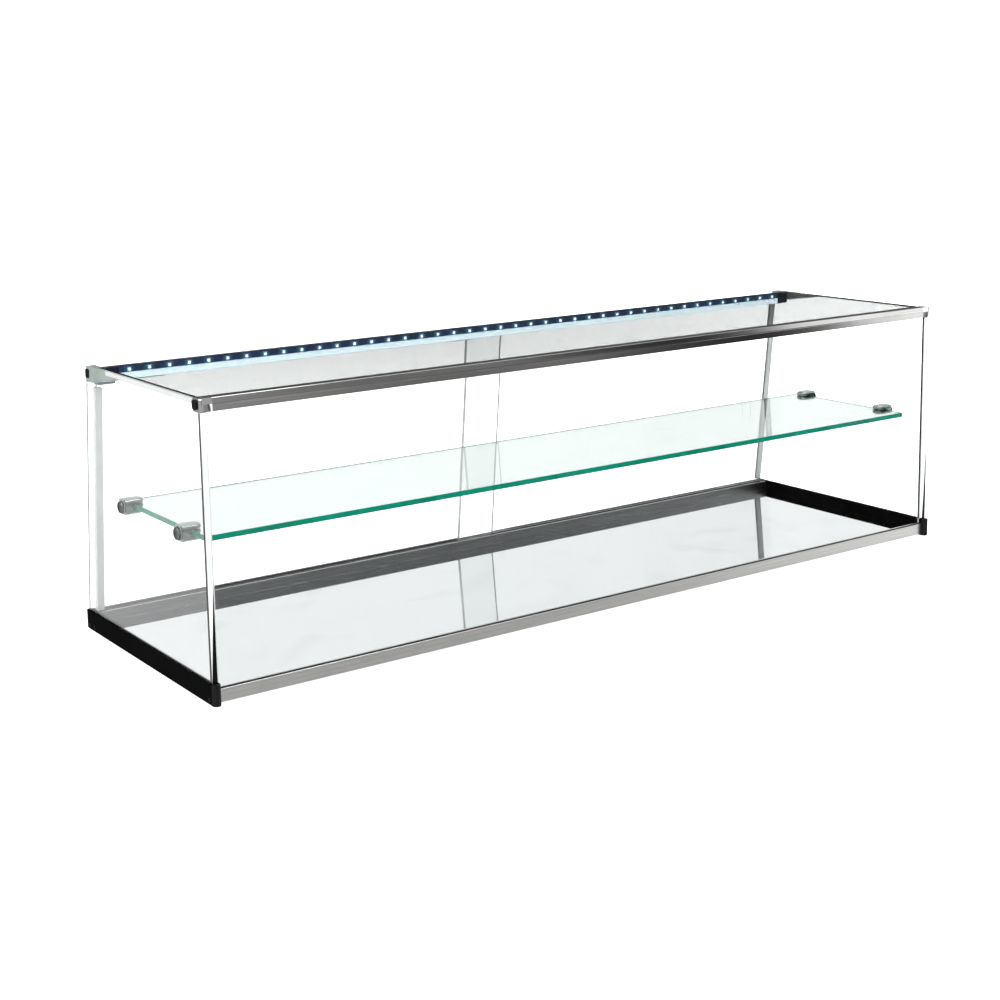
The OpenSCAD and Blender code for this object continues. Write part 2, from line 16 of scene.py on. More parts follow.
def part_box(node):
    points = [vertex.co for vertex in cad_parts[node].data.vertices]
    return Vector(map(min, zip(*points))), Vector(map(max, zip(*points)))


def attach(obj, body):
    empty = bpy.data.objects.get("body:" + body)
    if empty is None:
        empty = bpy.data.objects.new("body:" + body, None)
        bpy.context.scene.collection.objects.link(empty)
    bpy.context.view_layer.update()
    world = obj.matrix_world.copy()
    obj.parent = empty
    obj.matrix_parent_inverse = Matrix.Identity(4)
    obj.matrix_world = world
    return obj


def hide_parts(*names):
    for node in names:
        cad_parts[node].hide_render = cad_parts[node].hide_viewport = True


bl_info = {
    "name": "Display case looks",
    "version": (1, 0, 0),
    "blender": (4, 5, 0),
    "location": "3D View > Sidebar > Display case",
    "description": "Builds the visible pieces and finishes of a glass display case round its frame",
    "category": "Object",
}

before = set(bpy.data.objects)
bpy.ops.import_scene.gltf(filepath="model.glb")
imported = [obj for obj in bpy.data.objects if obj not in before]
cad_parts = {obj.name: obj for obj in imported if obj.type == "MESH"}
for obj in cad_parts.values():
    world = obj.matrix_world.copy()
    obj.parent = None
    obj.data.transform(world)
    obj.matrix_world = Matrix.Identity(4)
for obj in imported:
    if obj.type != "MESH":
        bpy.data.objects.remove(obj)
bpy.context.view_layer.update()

SIDES = ("left", "right")
ENDS = ("front", "rear")
MM = 0.001
TINY = 1e-5


# ---- Settings ----


def tint(name, description, default):
    """A colour setting, in linear light."""
    return FloatVectorProperty(
        name=name, description=description, default=default, size=3, min=0, max=1, subtype="COLOR"
    )


def length(name, description, default):
    """A length setting, in metres."""
    return FloatProperty(
        name=name, description=description, default=default, min=0, unit="LENGTH", subtype="DISTANCE"
    )


class DisplayCaseFinish(bpy.types.PropertyGroup):
    """Colours of the case's finishes."""

    profile: tint("Side profiles", "Black anodised side profiles", (0.0015, 0.0015, 0.0017))
    profile_edge: tint("Profile edge", "Bare metal on the profiles' inner top edges", (0.42, 0.43, 0.43))
    plastic: tint("Plastic", "Black moulded caps, plugs and socket", (0.004, 0.004, 0.0045))
    rubber: tint("Rubber", "Feet and gasket", (0.018, 0.018, 0.018))
    base_rail: tint("Front base rail", "Brushed aluminium at the front", (0.80, 0.80, 0.78))
    rear_rail: tint("Rear base rail", "Dark anodised aluminium at the rear", (0.38, 0.38, 0.39))
    top_rail: tint("Top rails", "Satin aluminium along the top", (0.55, 0.55, 0.54))
    rear_top: tint("Rear top rail", "Navy anodised aluminium", (0.010, 0.050, 0.150))
    corner: tint("Corner pieces", "Polished corner pieces", (0.80, 0.80, 0.81))
    end_cap: tint("End caps", "Painted caps of the rear top rail", (0.24, 0.28, 0.26))
    cover: tint("Rear cover", "Dark strip behind the top glass", (0.003, 0.022, 0.080))
    tray: tint("Tray", "Mirror-polished steel", (0.88, 0.89, 0.90))
    board: tint("Board", "Fibreboard under the tray", (0.30, 0.20, 0.12))
    glass: tint("Glass", "Clear glass", (0.985, 1.0, 0.995))
    glass_edge: tint("Glass edge", "Ground edges of the clear glass", (0.66, 0.69, 0.68))
    shelf: tint("Shelf glass", "Glass of the shelf", (0.60, 0.645, 0.635))
    shelf_edge: tint("Shelf edge", "Polished edge of the shelf", (0.0, 0.225, 0.140))
    # The shelf arris colour is a painted highlight: its small bevels are a lighter green than the shelf edge.
    shelf_arris_highlight: tint("Shelf arris", "Small bevels along the shelf's edge", (0.01, 0.30, 0.21))
    chrome: tint("Chrome", "Clamps and bolts", (0.27, 0.32, 0.295))
    steel: tint("Steel", "Screws", (0.45, 0.45, 0.46))
    seal: tint("Clear seals", "Clear soft strips along the fixed glass", (0.60, 0.62, 0.615))
    door_seal: tint("Door seals", "Clear soft strips on the doors", (0.90, 0.92, 0.915))
    nylon: tint("Nylon", "Glides and guides of the doors", (0.70, 0.70, 0.66))
    circuit: tint("Light strip", "Circuit strip that carries the chips", (0.004, 0.028, 0.090))
    lamp: tint("Lamp", "Light of the chips", (0.86, 0.97, 1.0))
    # The glow is painted light: the strip and the chip bodies give it off as emission.
    glow: tint("Glow", "Light that the strip throws on what is near it", (0.10, 0.45, 0.75))


class DisplayCaseDetail(bpy.types.PropertyGroup):
    """Sizes of small details."""

    glass_arris: length("Glass arris", "Width of the ground bevel on glass edges", 0.5 * MM)
    profile_arris: length("Profile arris", "Width of the broken edges of the side profiles", 0.45 * MM)
    rail_arris: length("Rail arris", "Width of the broken edges of the rails", 0.3 * MM)
    cap_arris: length("Cap arris", "Width of the soft edges of moulded caps", 0.5 * MM)
    seal_arris: length("Seal arris", "Width of the soft edges of seals and pads", 0.2 * MM)
    # The edge wedge is a painted reflection: the black profile's colour is painted into the side panes' front
    # edges.
    profile_reflection_wedge: length("Edge wedge", "Height of the dark wedge at the foot of the side panes", 110 * MM)
    clamp_edge: length("Clamp edge", "Radius of the clamps' long edges", 3.4 * MM)
    clamp_nose: length("Clamp nose", "Radius of the clamps' round ends", 8.9 * MM)
    lens_radius: length("Lens radius", "Radius of each chip's lens", 1.9 * MM)
    round_steps: IntProperty(
        name="Round steps", description="Steps round a turned piece", default=48, min=12, max=96
    )


class DisplayCaseStudio(bpy.types.PropertyGroup):
    """Camera and studio light."""

    place: FloatVectorProperty(
        name="Camera place", description="Where the camera stands", size=3,
        default=(-1.2036, -1.6097, 0.5876), unit="LENGTH", subtype="TRANSLATION",
    )
    azimuth: FloatProperty(
        name="Heading", description="Turn of the camera from +Y towards +X",
        default=math.radians(35.40), unit="ROTATION", subtype="ANGLE",
    )
    elevation: FloatProperty(
        name="Tilt", description="How far the camera looks down",
        default=math.radians(9.55), unit="ROTATION", subtype="ANGLE",
    )
    roll: FloatProperty(
        name="Roll", description="Turn of the camera about its own axis",
        default=math.radians(-0.93), unit="ROTATION", subtype="ANGLE",
    )
    lens: FloatProperty(
        name="Lens", description="Focal length in millimetres on a 36 mm sensor",
        default=60.43, min=10, max=300, unit="CAMERA",
    )
    shift_y: FloatProperty(
        name="Shift", description="Upright shift of the camera", default=-0.12, min=-0.5, max=0.5
    )
    backdrop: FloatProperty(
        name="Backdrop", description="Brightness of the white backdrop", default=1.7, min=0, max=10
    )
    through: FloatProperty(
        name="Through glass", description="Brightness of the white backdrop seen through glass",
        default=2.3, min=0, max=10,
    )
    in_edges: FloatProperty(
        name="In edges", description="Brightness of the studio as the glass edges guide it",
        default=0.8, min=0, max=10,
    )
    back_glow: FloatProperty(
        name="Back glow", description="Brightness of the backdrop as the mirrors inside show it",
        default=1.10, min=0, max=10,
    )
    in_glass: FloatProperty(
        name="In glass", description="Brightness of the studio as the polished glass mirrors it",
        default=0.02, min=0, max=10,
    )
    overhead: FloatProperty(
        name="Overhead", description="Brightness of the soft light overhead", default=1.5, min=0, max=10
    )
    floor_size: length("Floor size", "Side of the square floor", 16.0)


def finish_settings():
    return bpy.context.scene.display_case_finish


def detail_settings():
    return bpy.context.scene.display_case_detail


def studio_settings():
    return bpy.context.scene.display_case_studio


# ---- Effects that several finishes share ----


def effect(name, inputs, outputs):
    """A new node group with its inlet and outlet; inputs are (name, kind, default), outputs are names."""
    group = bpy.data.node_groups.new(name, "ShaderNodeTree")
    for socket_name, kind, default in inputs:
        socket = group.interface.new_socket(name=socket_name, in_out="INPUT", socket_type=kind)
        socket.default_value = default
    for socket_name in outputs:
        group.interface.new_socket(name=socket_name, in_out="OUTPUT", socket_type="NodeSocketFloat")
    inlet = group.nodes.new("NodeGroupInput")
    outlet = group.nodes.new("NodeGroupOutput")
    return group, inlet, outlet


def noise_node(group, vector, scale, detail, roughness):
    """A noise texture in a group; scale is a number, or a socket that gives it."""
    noise = group.nodes.new("ShaderNodeTexNoise")
    noise.inputs["Detail"].default_value = detail
    noise.inputs["Roughness"].default_value = roughness
    if isinstance(scale, (int, float)):
        noise.inputs["Scale"].default_value = scale
    else:
        group.links.new(scale, noise.inputs["Scale"])
    group.links.new(vector, noise.inputs["Vector"])
    return noise.outputs[0]


def ramp_node(group, value, low, high):
    """Spreads the part of a value between low and high over 0 to 1."""
    spread = group.nodes.new("ShaderNodeMapRange")
    spread.interpolation_type = "SMOOTHSTEP"
    spread.inputs["From Min"].default_value = low
    spread.inputs["From Max"].default_value = high
    group.links.new(value, spread.inputs["Value"])
    return spread.outputs["Result"]


def math_node(group, operation, *values):
    """A math node; each value is a number or a socket."""
    node = group.nodes.new("ShaderNodeMath")
    node.operation = operation
    for slot, value in zip(node.inputs, values):
        if isinstance(value, (int, float)):
            slot.default_value = value
        else:
            group.links.new(value, slot)
    return node.outputs[0]


def brushed_grain():
    """Long fine lines left by brushing or drawing, and slower streaks along them."""
    made = bpy.data.node_groups.get("brushed_grain")
    if made:
        return made
    group, inlet, outlet = effect(
        "brushed_grain", [("Lines", "NodeSocketVector", (8.0, 4000.0, 4000.0))], ["Grain", "Streak"]
    )
    place = group.nodes.new("ShaderNodeTexCoord")
    stretch = group.nodes.new("ShaderNodeVectorMath")
    stretch.operation = "MULTIPLY"
    group.links.new(place.outputs["Object"], stretch.inputs[0])
    group.links.new(inlet.outputs["Lines"], stretch.inputs[1])
    grain = noise_node(group, stretch.outputs[0], 1.0, 5.0, 0.7)
    streak = noise_node(group, stretch.outputs[0], 0.12, 3.0, 0.55)
    group.links.new(ramp_node(group, grain, 0.25, 0.75), outlet.inputs["Grain"])
    group.links.new(ramp_node(group, streak, 0.3, 0.7), outlet.inputs["Streak"])
    return group


def fine_speckle():
    """Small grains of a given number per metre, and a slow mottle of the whole surface."""
    made = bpy.data.node_groups.get("fine_speckle")
    if made:
        return made
    group, inlet, outlet = effect(
        "fine_speckle", [("Grains", "NodeSocketFloat", 2500.0)], ["Speckle", "Mottle"]
    )
    place = group.nodes.new("ShaderNodeTexCoord")
    speckle = noise_node(group, place.outputs["Object"], inlet.outputs["Grains"], 3.0, 0.6)
    mottle = noise_node(group, place.outputs["Object"], 18.0, 4.0, 0.6)
    group.links.new(ramp_node(group, speckle, 0.3, 0.7), outlet.inputs["Speckle"])
    group.links.new(ramp_node(group, mottle, 0.35, 0.65), outlet.inputs["Mottle"])
    return group


def edge_wear():
    """Rubbed patches along a piece's small bevels, which its arris attribute marks."""
    made = bpy.data.node_groups.get("edge_wear")
    if made:
        return made
    group, inlet, outlet = effect("edge_wear", [("Amount", "NodeSocketFloat", 0.5)], ["Wear"])
    place = group.nodes.new("ShaderNodeTexCoord")
    arris = group.nodes.new("ShaderNodeAttribute")
    arris.attribute_name = "arris"
    patches = ramp_node(group, noise_node(group, place.outputs["Object"], 60.0, 6.0, 0.7), 0.42, 0.6)
    worn = math_node(group, "MULTIPLY", patches, arris.outputs["Fac"])
    group.links.new(math_node(group, "MULTIPLY", worn, inlet.outputs["Amount"]), outlet.inputs["Wear"])
    return group


def settled_dust():
    """Thin dust on faces that look up."""
    made = bpy.data.node_groups.get("settled_dust")
    if made:
        return made
    group, inlet, outlet = effect("settled_dust", [("Amount", "NodeSocketFloat", 0.2)], ["Dust"])
    place = group.nodes.new("ShaderNodeTexCoord")
    surface = group.nodes.new("ShaderNodeNewGeometry")
    parts = group.nodes.new("ShaderNodeSeparateXYZ")
    group.links.new(surface.outputs["Normal"], parts.inputs[0])
    upward = ramp_node(group, parts.outputs["Z"], 0.6, 0.95)
    drift = ramp_node(group, noise_node(group, place.outputs["Object"], 240.0, 5.0, 0.7), 0.4, 0.8)
    lying = math_node(group, "MULTIPLY", upward, drift)
    group.links.new(math_node(group, "MULTIPLY", lying, inlet.outputs["Amount"]), outlet.inputs["Dust"])
    return group


def wipe_marks():
    """Faint arcs and smears left by a cleaning cloth."""
    made = bpy.data.node_groups.get("wipe_marks")
    if made:
        return made
    group, inlet, outlet = effect("wipe_marks", [("Size", "NodeSocketFloat", 9.0)], ["Smear"])
    place = group.nodes.new("ShaderNodeTexCoord")
    noise = group.nodes.new("ShaderNodeTexNoise")
    noise.inputs["Detail"].default_value = 4.0
    noise.inputs["Distortion"].default_value = 1.6
    group.links.new(inlet.outputs["Size"], noise.inputs["Scale"])
    group.links.new(place.outputs["Object"], noise.inputs["Vector"])
    group.links.new(ramp_node(group, noise.outputs[0], 0.48, 0.72), outlet.inputs["Smear"])
    return group


# ---- Finishes ----


class Finish:
    """One material, with its Principled shader and short calls that add nodes to it."""

    def __init__(self, name, color, roughness, metallic=0.0, **sockets):
        self.material = bpy.data.materials.new(name)
        self.material.use_nodes = True
        self.tree = self.material.node_tree
        self.nodes = self.tree.nodes
        self.links = self.tree.links
        self.shader = next(n for n in self.nodes if n.type == "BSDF_PRINCIPLED")
        self.color = color
        self.set("Base Color", (*color, 1))
        self.set("Roughness", roughness)
        self.set("Metallic", metallic)
        for socket, value in sockets.items():
            self.set(socket.replace("_", " "), value)

    def set(self, socket, value):
        self.shader.inputs[socket].default_value = value

    def effect(self, group, **values):
        """Places a shared effect and returns its outputs."""
        node = self.nodes.new("ShaderNodeGroup")
        node.node_tree = group
        for socket, value in values.items():
            node.inputs[socket].default_value = value
        return node.outputs

    def place(self):
        """Where a point of the piece is, as X, Y and Z."""
        coordinates = self.nodes.new("ShaderNodeTexCoord")
        parts = self.nodes.new("ShaderNodeSeparateXYZ")
        self.links.new(coordinates.outputs["Object"], parts.inputs[0])
        return parts.outputs

    def mix_color(self, mask, low, high, socket="Base Color"):
        """One of the shader's colours, between two colours or sockets, by a mask."""
        mix = self.nodes.new("ShaderNodeMix")
        mix.data_type = "RGBA"
        self.links.new(mask, mix.inputs[0])
        for index, value in ((6, low), (7, high)):
            if isinstance(value, bpy.types.NodeSocket):
                self.links.new(value, mix.inputs[index])
            else:
                mix.inputs[index].default_value = (*value, 1)
        self.links.new(mix.outputs[2], self.shader.inputs[socket])
        return mix.outputs[2]

    def vary(self, socket, mask, low, high):
        """Runs one of the shader's numbers from low to high by a mask."""
        spread = self.nodes.new("ShaderNodeMapRange")
        spread.inputs["To Min"].default_value = low
        spread.inputs["To Max"].default_value = high
        self.links.new(mask, spread.inputs["Value"])
        self.links.new(spread.outputs["Result"], self.shader.inputs[socket])
        return spread.outputs["Result"]

    def bump(self, height, depth, strength=1.0):
        """Raises the surface by a height mask, to a depth in metres."""
        bump = self.nodes.new("ShaderNodeBump")
        bump.inputs["Strength"].default_value = strength
        bump.inputs["Distance"].default_value = depth
        self.links.new(height, bump.inputs["Height"])
        self.links.new(bump.outputs["Normal"], self.shader.inputs["Normal"])

    def hide_from_mirrors(self):
        """Lets rays pass that have met a mirror, so that the floor doesn't veil the glass."""
        output = next(n for n in self.nodes if n.type == "OUTPUT_MATERIAL")
        light = self.nodes.new("ShaderNodeLightPath")
        clear = self.nodes.new("ShaderNodeBsdfTransparent")
        mix = self.nodes.new("ShaderNodeMixShader")
        self.links.new(light.outputs["Glossy Depth"], mix.inputs[0])
        self.links.new(self.shader.outputs[0], mix.inputs[1])
        self.links.new(clear.outputs[0], mix.inputs[2])
        self.links.new(mix.outputs[0], output.inputs["Surface"])


def shaded(color, share):
    """A colour times a share."""
    return tuple(part * share for part in color)


def anodised_black():
    made = Finish("Anodised_black", finish_settings().profile, 0.45)
    made.set("Specular IOR Level", 0.015)
    speckle = made.effect(fine_speckle(), Grains=3200.0)
    wear = made.effect(edge_wear(), Amount=0.55)
    base = made.mix_color(speckle["Mottle"], shaded(made.color, 0.8), shaded(made.color, 1.3))
    made.mix_color(wear["Wear"], base, (0.11, 0.11, 0.11))
    made.vary("Roughness", speckle["Speckle"], 0.38, 0.52)
    made.bump(speckle["Speckle"], 0.002 * MM, 0.15)
    return made.material


def bare_edge():
    made = Finish("Bare_edge", finish_settings().profile_edge, 0.35, 1.0)
    grain = made.effect(brushed_grain(), Lines=(2500.0, 10.0, 2500.0))
    made.mix_color(grain["Streak"], shaded(made.color, 0.75), shaded(made.color, 1.2))
    made.vary("Roughness", grain["Grain"], 0.28, 0.42)
    return made.material


def moulded_plastic():
    made = Finish("Moulded_plastic", finish_settings().plastic, 0.5)
    made.set("Specular IOR Level", 0.15)
    speckle = made.effect(fine_speckle(), Grains=1800.0)
    dust = made.effect(settled_dust(), Amount=0.08)
    base = made.mix_color(speckle["Mottle"], shaded(made.color, 0.8), shaded(made.color, 1.25))
    made.mix_color(dust["Dust"], base, (0.30, 0.30, 0.29))
    made.vary("Roughness", speckle["Speckle"], 0.42, 0.58)
    made.bump(speckle["Speckle"], 0.03 * MM, 0.5)
    return made.material


def rubber():
    made = Finish("Rubber", finish_settings().rubber, 0.75)
    made.set("Specular IOR Level", 0.25)
    speckle = made.effect(fine_speckle(), Grains=1400.0)
    dust = made.effect(settled_dust(), Amount=0.12)
    base = made.mix_color(speckle["Mottle"], shaded(made.color, 0.7), shaded(made.color, 1.3))
    made.mix_color(dust["Dust"], base, (0.34, 0.33, 0.31))
    made.vary("Roughness", speckle["Speckle"], 0.65, 0.85)
    made.bump(speckle["Speckle"], 0.04 * MM, 0.5)
    return made.material


def brushed_metal(name, color, roughness, grain_depth=0.01 * MM, wear_color=None):
    """Metal with drawn lines along X, and rubbed edges where a colour for them is given."""
    made = Finish(name, color, roughness, 1.0)
    grain = made.effect(brushed_grain(), Lines=(6.0, 3600.0, 3600.0))
    speckle = made.effect(fine_speckle(), Grains=900.0)
    base = made.mix_color(grain["Streak"], shaded(color, 0.86), shaded(color, 1.08))
    base = made.mix_color(speckle["Mottle"], base, shaded(color, 0.93))
    if wear_color:
        wear = made.effect(edge_wear(), Amount=0.6)
        made.mix_color(wear["Wear"], base, wear_color)
    made.vary("Roughness", grain["Grain"], roughness * 0.8, roughness * 1.25)
    made.bump(grain["Grain"], grain_depth, 0.35)
    return made.material


def front_base_metal():
    return brushed_metal("Brushed_base_rail", finish_settings().base_rail, 0.32)


def rear_base_metal():
    return brushed_metal("Dark_base_rail", finish_settings().rear_rail, 0.30, wear_color=(0.5, 0.5, 0.5))


def top_rail_metal():
    return brushed_metal("Satin_top_rail", finish_settings().top_rail, 0.055, grain_depth=0.003 * MM)


def rear_top_metal():
    return brushed_metal("Navy_top_rail", finish_settings().rear_top, 0.25)


def polished_metal():
    made = Finish("Polished_corner", finish_settings().corner, 0.12, 1.0)
    marks = made.effect(wipe_marks(), Size=60.0)
    speckle = made.effect(fine_speckle(), Grains=2600.0)
    made.mix_color(speckle["Mottle"], shaded(made.color, 0.94), made.color)
    made.vary("Roughness", marks["Smear"], 0.09, 0.2)
    made.bump(speckle["Speckle"], 0.003 * MM, 0.2)
    return made.material


def mirror_steel():
    made = Finish("Mirror_steel", finish_settings().tray, 0.035, 1.0)
    marks = made.effect(wipe_marks(), Size=7.0)
    made.mix_color(marks["Smear"], made.color, shaded(made.color, 0.95))
    made.vary("Roughness", marks["Smear"], 0.03, 0.075)
    return made.material


def painted_cap():
    made = Finish("Painted_cap", finish_settings().end_cap, 0.32)
    made.set("Coat Weight", 0.3)
    made.set("Coat Roughness", 0.12)
    speckle = made.effect(fine_speckle(), Grains=2200.0)
    wear = made.effect(edge_wear(), Amount=0.6)
    base = made.mix_color(speckle["Mottle"], shaded(made.color, 0.86), shaded(made.color, 1.1))
    made.mix_color(wear["Wear"], base, (0.62, 0.64, 0.62))
    made.vary("Roughness", speckle["Speckle"], 0.26, 0.4)
    made.bump(speckle["Speckle"], 0.02 * MM, 0.35)
    return made.material


def cover_finish():
    made = Finish("Dark_cover", finish_settings().cover, 0.30)
    made.set("Specular IOR Level", 0.35)
    grain = made.effect(brushed_grain(), Lines=(5.0, 2200.0, 2200.0))
    dust = made.effect(settled_dust(), Amount=0.03)
    base = made.mix_color(grain["Streak"], shaded(made.color, 0.8), shaded(made.color, 1.5))
    made.mix_color(dust["Dust"], base, (0.25, 0.26, 0.28))
    made.vary("Roughness", grain["Grain"], 0.24, 0.36)
    return made.material


def fibreboard():
    made = Finish("Fibreboard", finish_settings().board, 0.8)
    speckle = made.effect(fine_speckle(), Grains=700.0)
    base = made.mix_color(speckle["Speckle"], shaded(made.color, 0.75), shaded(made.color, 1.2))
    made.mix_color(speckle["Mottle"], base, shaded(made.color, 0.9))
    made.vary("Roughness", speckle["Speckle"], 0.7, 0.9)
    made.bump(speckle["Speckle"], 0.1 * MM, 0.5)
    return made.material


def clear_glass():
    """Polished faces of the panes."""
    made = Finish("Clear_glass", finish_settings().glass, 0.0)
    made.set("IOR", 1.5)
    made.set("Transmission Weight", 1.0)
    marks = made.effect(wipe_marks(), Size=5.0)
    made.mix_color(marks["Smear"], made.color, shaded(made.color, 0.985))
    return made.material


def ground_edge():
    """Ground edges of the clear panes, which catch the light as grey-green lines."""
    return ground_glass("Ground_glass_edge")[0].material


def ground_glass(name):
    """The finish that the ground edges share, and its base colour."""
    made = Finish(name, finish_settings().glass_edge, 0.1)
    made.set("IOR", 1.5)
    made.set("Transmission Weight", 0.15)
    speckle = made.effect(fine_speckle(), Grains=3000.0)
    base = made.mix_color(speckle["Mottle"], shaded(made.color, 0.85), shaded(made.color, 1.1))
    made.vary("Roughness", speckle["Speckle"], 0.06, 0.14)
    made.bump(speckle["Speckle"], 0.01 * MM, 0.4)
    return made, base


def side_edge(side):
    """Edge of a side pane, with a painted reflection of the black profile in its front foot, as a dark wedge
    that narrows upwards.
    """
    made, base = ground_glass(f"{side.capitalize()}_glass_edge")
    low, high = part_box(f"{side}_side_glass")
    wide = high.x - low.x
    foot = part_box(f"{side}_corner_seal")[0].z
    tall = detail_settings().profile_reflection_wedge
    front_edge = 10 * MM
    place = made.place()
    across = math_node(made.tree, "MULTIPLY_ADD", place["X"], 1 / wide, -low.x / wide)
    rise = math_node(made.tree, "MULTIPLY_ADD", place["Z"], 1 / tall, -foot / tall)
    wedge = ramp_node(made.tree, math_node(made.tree, "SUBTRACT", across, rise), -0.05, 0.05)
    at_front = math_node(made.tree, "LESS_THAN", place["Y"], low.y + front_edge)
    # Painted reflection: the profile's black is painted into the wedge at the pane's front edge.
    made.mix_color(math_node(made.tree, "MULTIPLY", wedge, at_front), base, finish_settings().profile)
    made.set("Specular IOR Level", 0.1)
    return made.material


def shelf_face():
    made = Finish("Shelf_glass", finish_settings().shelf, 0.0)
    made.set("IOR", 1.5)
    made.set("Transmission Weight", 1.0)
    marks = made.effect(wipe_marks(), Size=6.0)
    made.mix_color(marks["Smear"], made.color, shaded(made.color, 0.97))
    return made.material


def shelf_edge():
    """Polished edge of the shelf, deep green from the length of glass behind it."""
    made = Finish("Shelf_edge", finish_settings().shelf_edge, 0.12)
    made.set("Specular IOR Level", 0.15)
    made.set("Coat Weight", 0.15)
    made.set("Coat Roughness", 0.04)
    grain = made.effect(brushed_grain(), Lines=(4.0, 700.0, 700.0))
    speckle = made.effect(fine_speckle(), Grains=1500.0)
    base = made.mix_color(grain["Streak"], shaded(made.color, 0.82), shaded(made.color, 1.25))
    made.mix_color(speckle["Mottle"], base, shaded(made.color, 0.92))
    made.vary("Roughness", speckle["Speckle"], 0.08, 0.18)
    return made.material


def shelf_arris_highlight():
    # Painted highlight: the bevels are a lighter, bluer green than the shelf edge.
    made = Finish("Shelf_arris", finish_settings().shelf_arris_highlight, 0.2)
    made.set("Specular IOR Level", 0.3)
    speckle = made.effect(fine_speckle(), Grains=2600.0)
    made.mix_color(speckle["Mottle"], shaded(made.color, 0.8), shaded(made.color, 1.25))
    made.vary("Roughness", speckle["Speckle"], 0.14, 0.3)
    return made.material


def chrome():
    made = Finish("Chrome", finish_settings().chrome, 0.06, 1.0)
    marks = made.effect(wipe_marks(), Size=120.0)
    speckle = made.effect(fine_speckle(), Grains=2400.0)
    made.mix_color(marks["Smear"], made.color, shaded(made.color, 0.9))
    made.vary("Roughness", marks["Smear"], 0.05, 0.13)
    made.bump(speckle["Mottle"], 0.02 * MM, 0.1)
    return made.material


def screw_steel():
    made = Finish("Screw_steel", finish_settings().steel, 0.3, 1.0)
    speckle = made.effect(fine_speckle(), Grains=2800.0)
    wear = made.effect(edge_wear(), Amount=0.5)
    base = made.mix_color(speckle["Speckle"], shaded(made.color, 0.8), shaded(made.color, 1.1))
    made.mix_color(wear["Wear"], base, (0.7, 0.7, 0.7))
    made.vary("Roughness", speckle["Speckle"], 0.24, 0.4)
    return made.material


def black_screw():
    made = Finish("Black_screw", shaded(finish_settings().steel, 0.08), 0.35, 1.0)
    speckle = made.effect(fine_speckle(), Grains=2800.0)
    wear = made.effect(edge_wear(), Amount=0.6)
    base = made.mix_color(speckle["Mottle"], made.color, shaded(made.color, 1.4))
    made.mix_color(wear["Wear"], base, (0.35, 0.35, 0.35))
    made.vary("Roughness", speckle["Speckle"], 0.3, 0.45)
    return made.material


def clear_seal():
    return milky_plastic("Clear_seal", finish_settings().seal)


def door_seal():
    return milky_plastic("Door_seal", finish_settings().door_seal)


def milky_plastic(name, color):
    """Clear soft plastic, a little milky."""
    made = Finish(name, color, 0.05)
    made.set("IOR", 1.5)
    made.set("Transmission Weight", 0.15)
    speckle = made.effect(fine_speckle(), Grains=900.0)
    made.mix_color(speckle["Mottle"], shaded(made.color, 0.92), made.color)
    made.vary("Roughness", speckle["Mottle"], 0.03, 0.08)
    return made.material


def nylon():
    made = Finish("Nylon", finish_settings().nylon, 0.4)
    made.set("Subsurface Weight", 0.15)
    made.set("Subsurface Radius", (0.002, 0.002, 0.0016))
    speckle = made.effect(fine_speckle(), Grains=1200.0)
    wear = made.effect(edge_wear(), Amount=0.5)
    base = made.mix_color(speckle["Mottle"], shaded(made.color, 0.92), shaded(made.color, 1.05))
    made.mix_color(wear["Wear"], base, (0.52, 0.52, 0.49))
    made.vary("Roughness", speckle["Speckle"], 0.35, 0.5)
    made.bump(speckle["Speckle"], 0.02 * MM, 0.3)
    return made.material


def circuit_strip():
    """Solder-masked strip, with a painted glow from the chips at their own spacing."""
    settings = finish_settings()
    made = Finish("Light_strip", settings.circuit, 0.35)
    made.set("Specular IOR Level", 0.4)
    low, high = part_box("led_strip")
    pitch = (high.x - low.x) / len(chip_places())
    along = math_node(made.tree, "SUBTRACT", made.place()["X"], low.x)
    between = math_node(made.tree, "COSINE", math_node(made.tree, "MULTIPLY", along, 2 * math.pi / pitch))
    painted_glow = ramp_node(made.tree, math_node(made.tree, "MULTIPLY", between, -1.0), -0.4, 1.0)
    speckle = made.effect(fine_speckle(), Grains=1600.0)
    made.mix_color(speckle["Mottle"], made.color, shaded(made.color, 1.5))
    # Painted glow: the strip's emission runs from its own colour between the chips to the glow colour at each
    # chip.
    made.mix_color(painted_glow, settings.circuit, shaded(settings.glow, 0.55), "Emission Color")
    made.set("Emission Strength", 1.0)
    made.vary("Roughness", speckle["Speckle"], 0.3, 0.45)
    return made.material


def chip_body():
    made = Finish("Chip_body", (0.78, 0.82, 0.84), 0.4)
    speckle = made.effect(fine_speckle(), Grains=3000.0)
    made.mix_color(speckle["Mottle"], (0.72, 0.77, 0.80), (0.82, 0.86, 0.88))
    made.vary("Roughness", speckle["Speckle"], 0.34, 0.5)
    # Painted glow: the chip body gives off the glow colour, which stands for light from its own chip.
    made.set("Emission Color", (*finish_settings().glow, 1))
    made.set("Emission Strength", 0.7)
    return made.material


def chip_lens():
    """Lit lens of a chip, with the grain of its phosphor."""
    settings = finish_settings()
    made = Finish("Chip_lens", settings.lamp, 0.25)
    speckle = made.effect(fine_speckle(), Grains=3500.0)
    made.mix_color(speckle["Speckle"], shaded(settings.lamp, 0.9), settings.lamp, "Emission Color")
    made.set("Emission Strength", 4.0)
    made.vary("Roughness", speckle["Speckle"], 0.2, 0.3)
    return made.material


def resistor():
    made = Finish("Chip_resistor", (0.02, 0.02, 0.022), 0.4)
    speckle = made.effect(fine_speckle(), Grains=3000.0)
    made.mix_color(speckle["Mottle"], (0.016, 0.016, 0.018), (0.03, 0.03, 0.032))
    made.vary("Roughness", speckle["Speckle"], 0.35, 0.5)
    return made.material


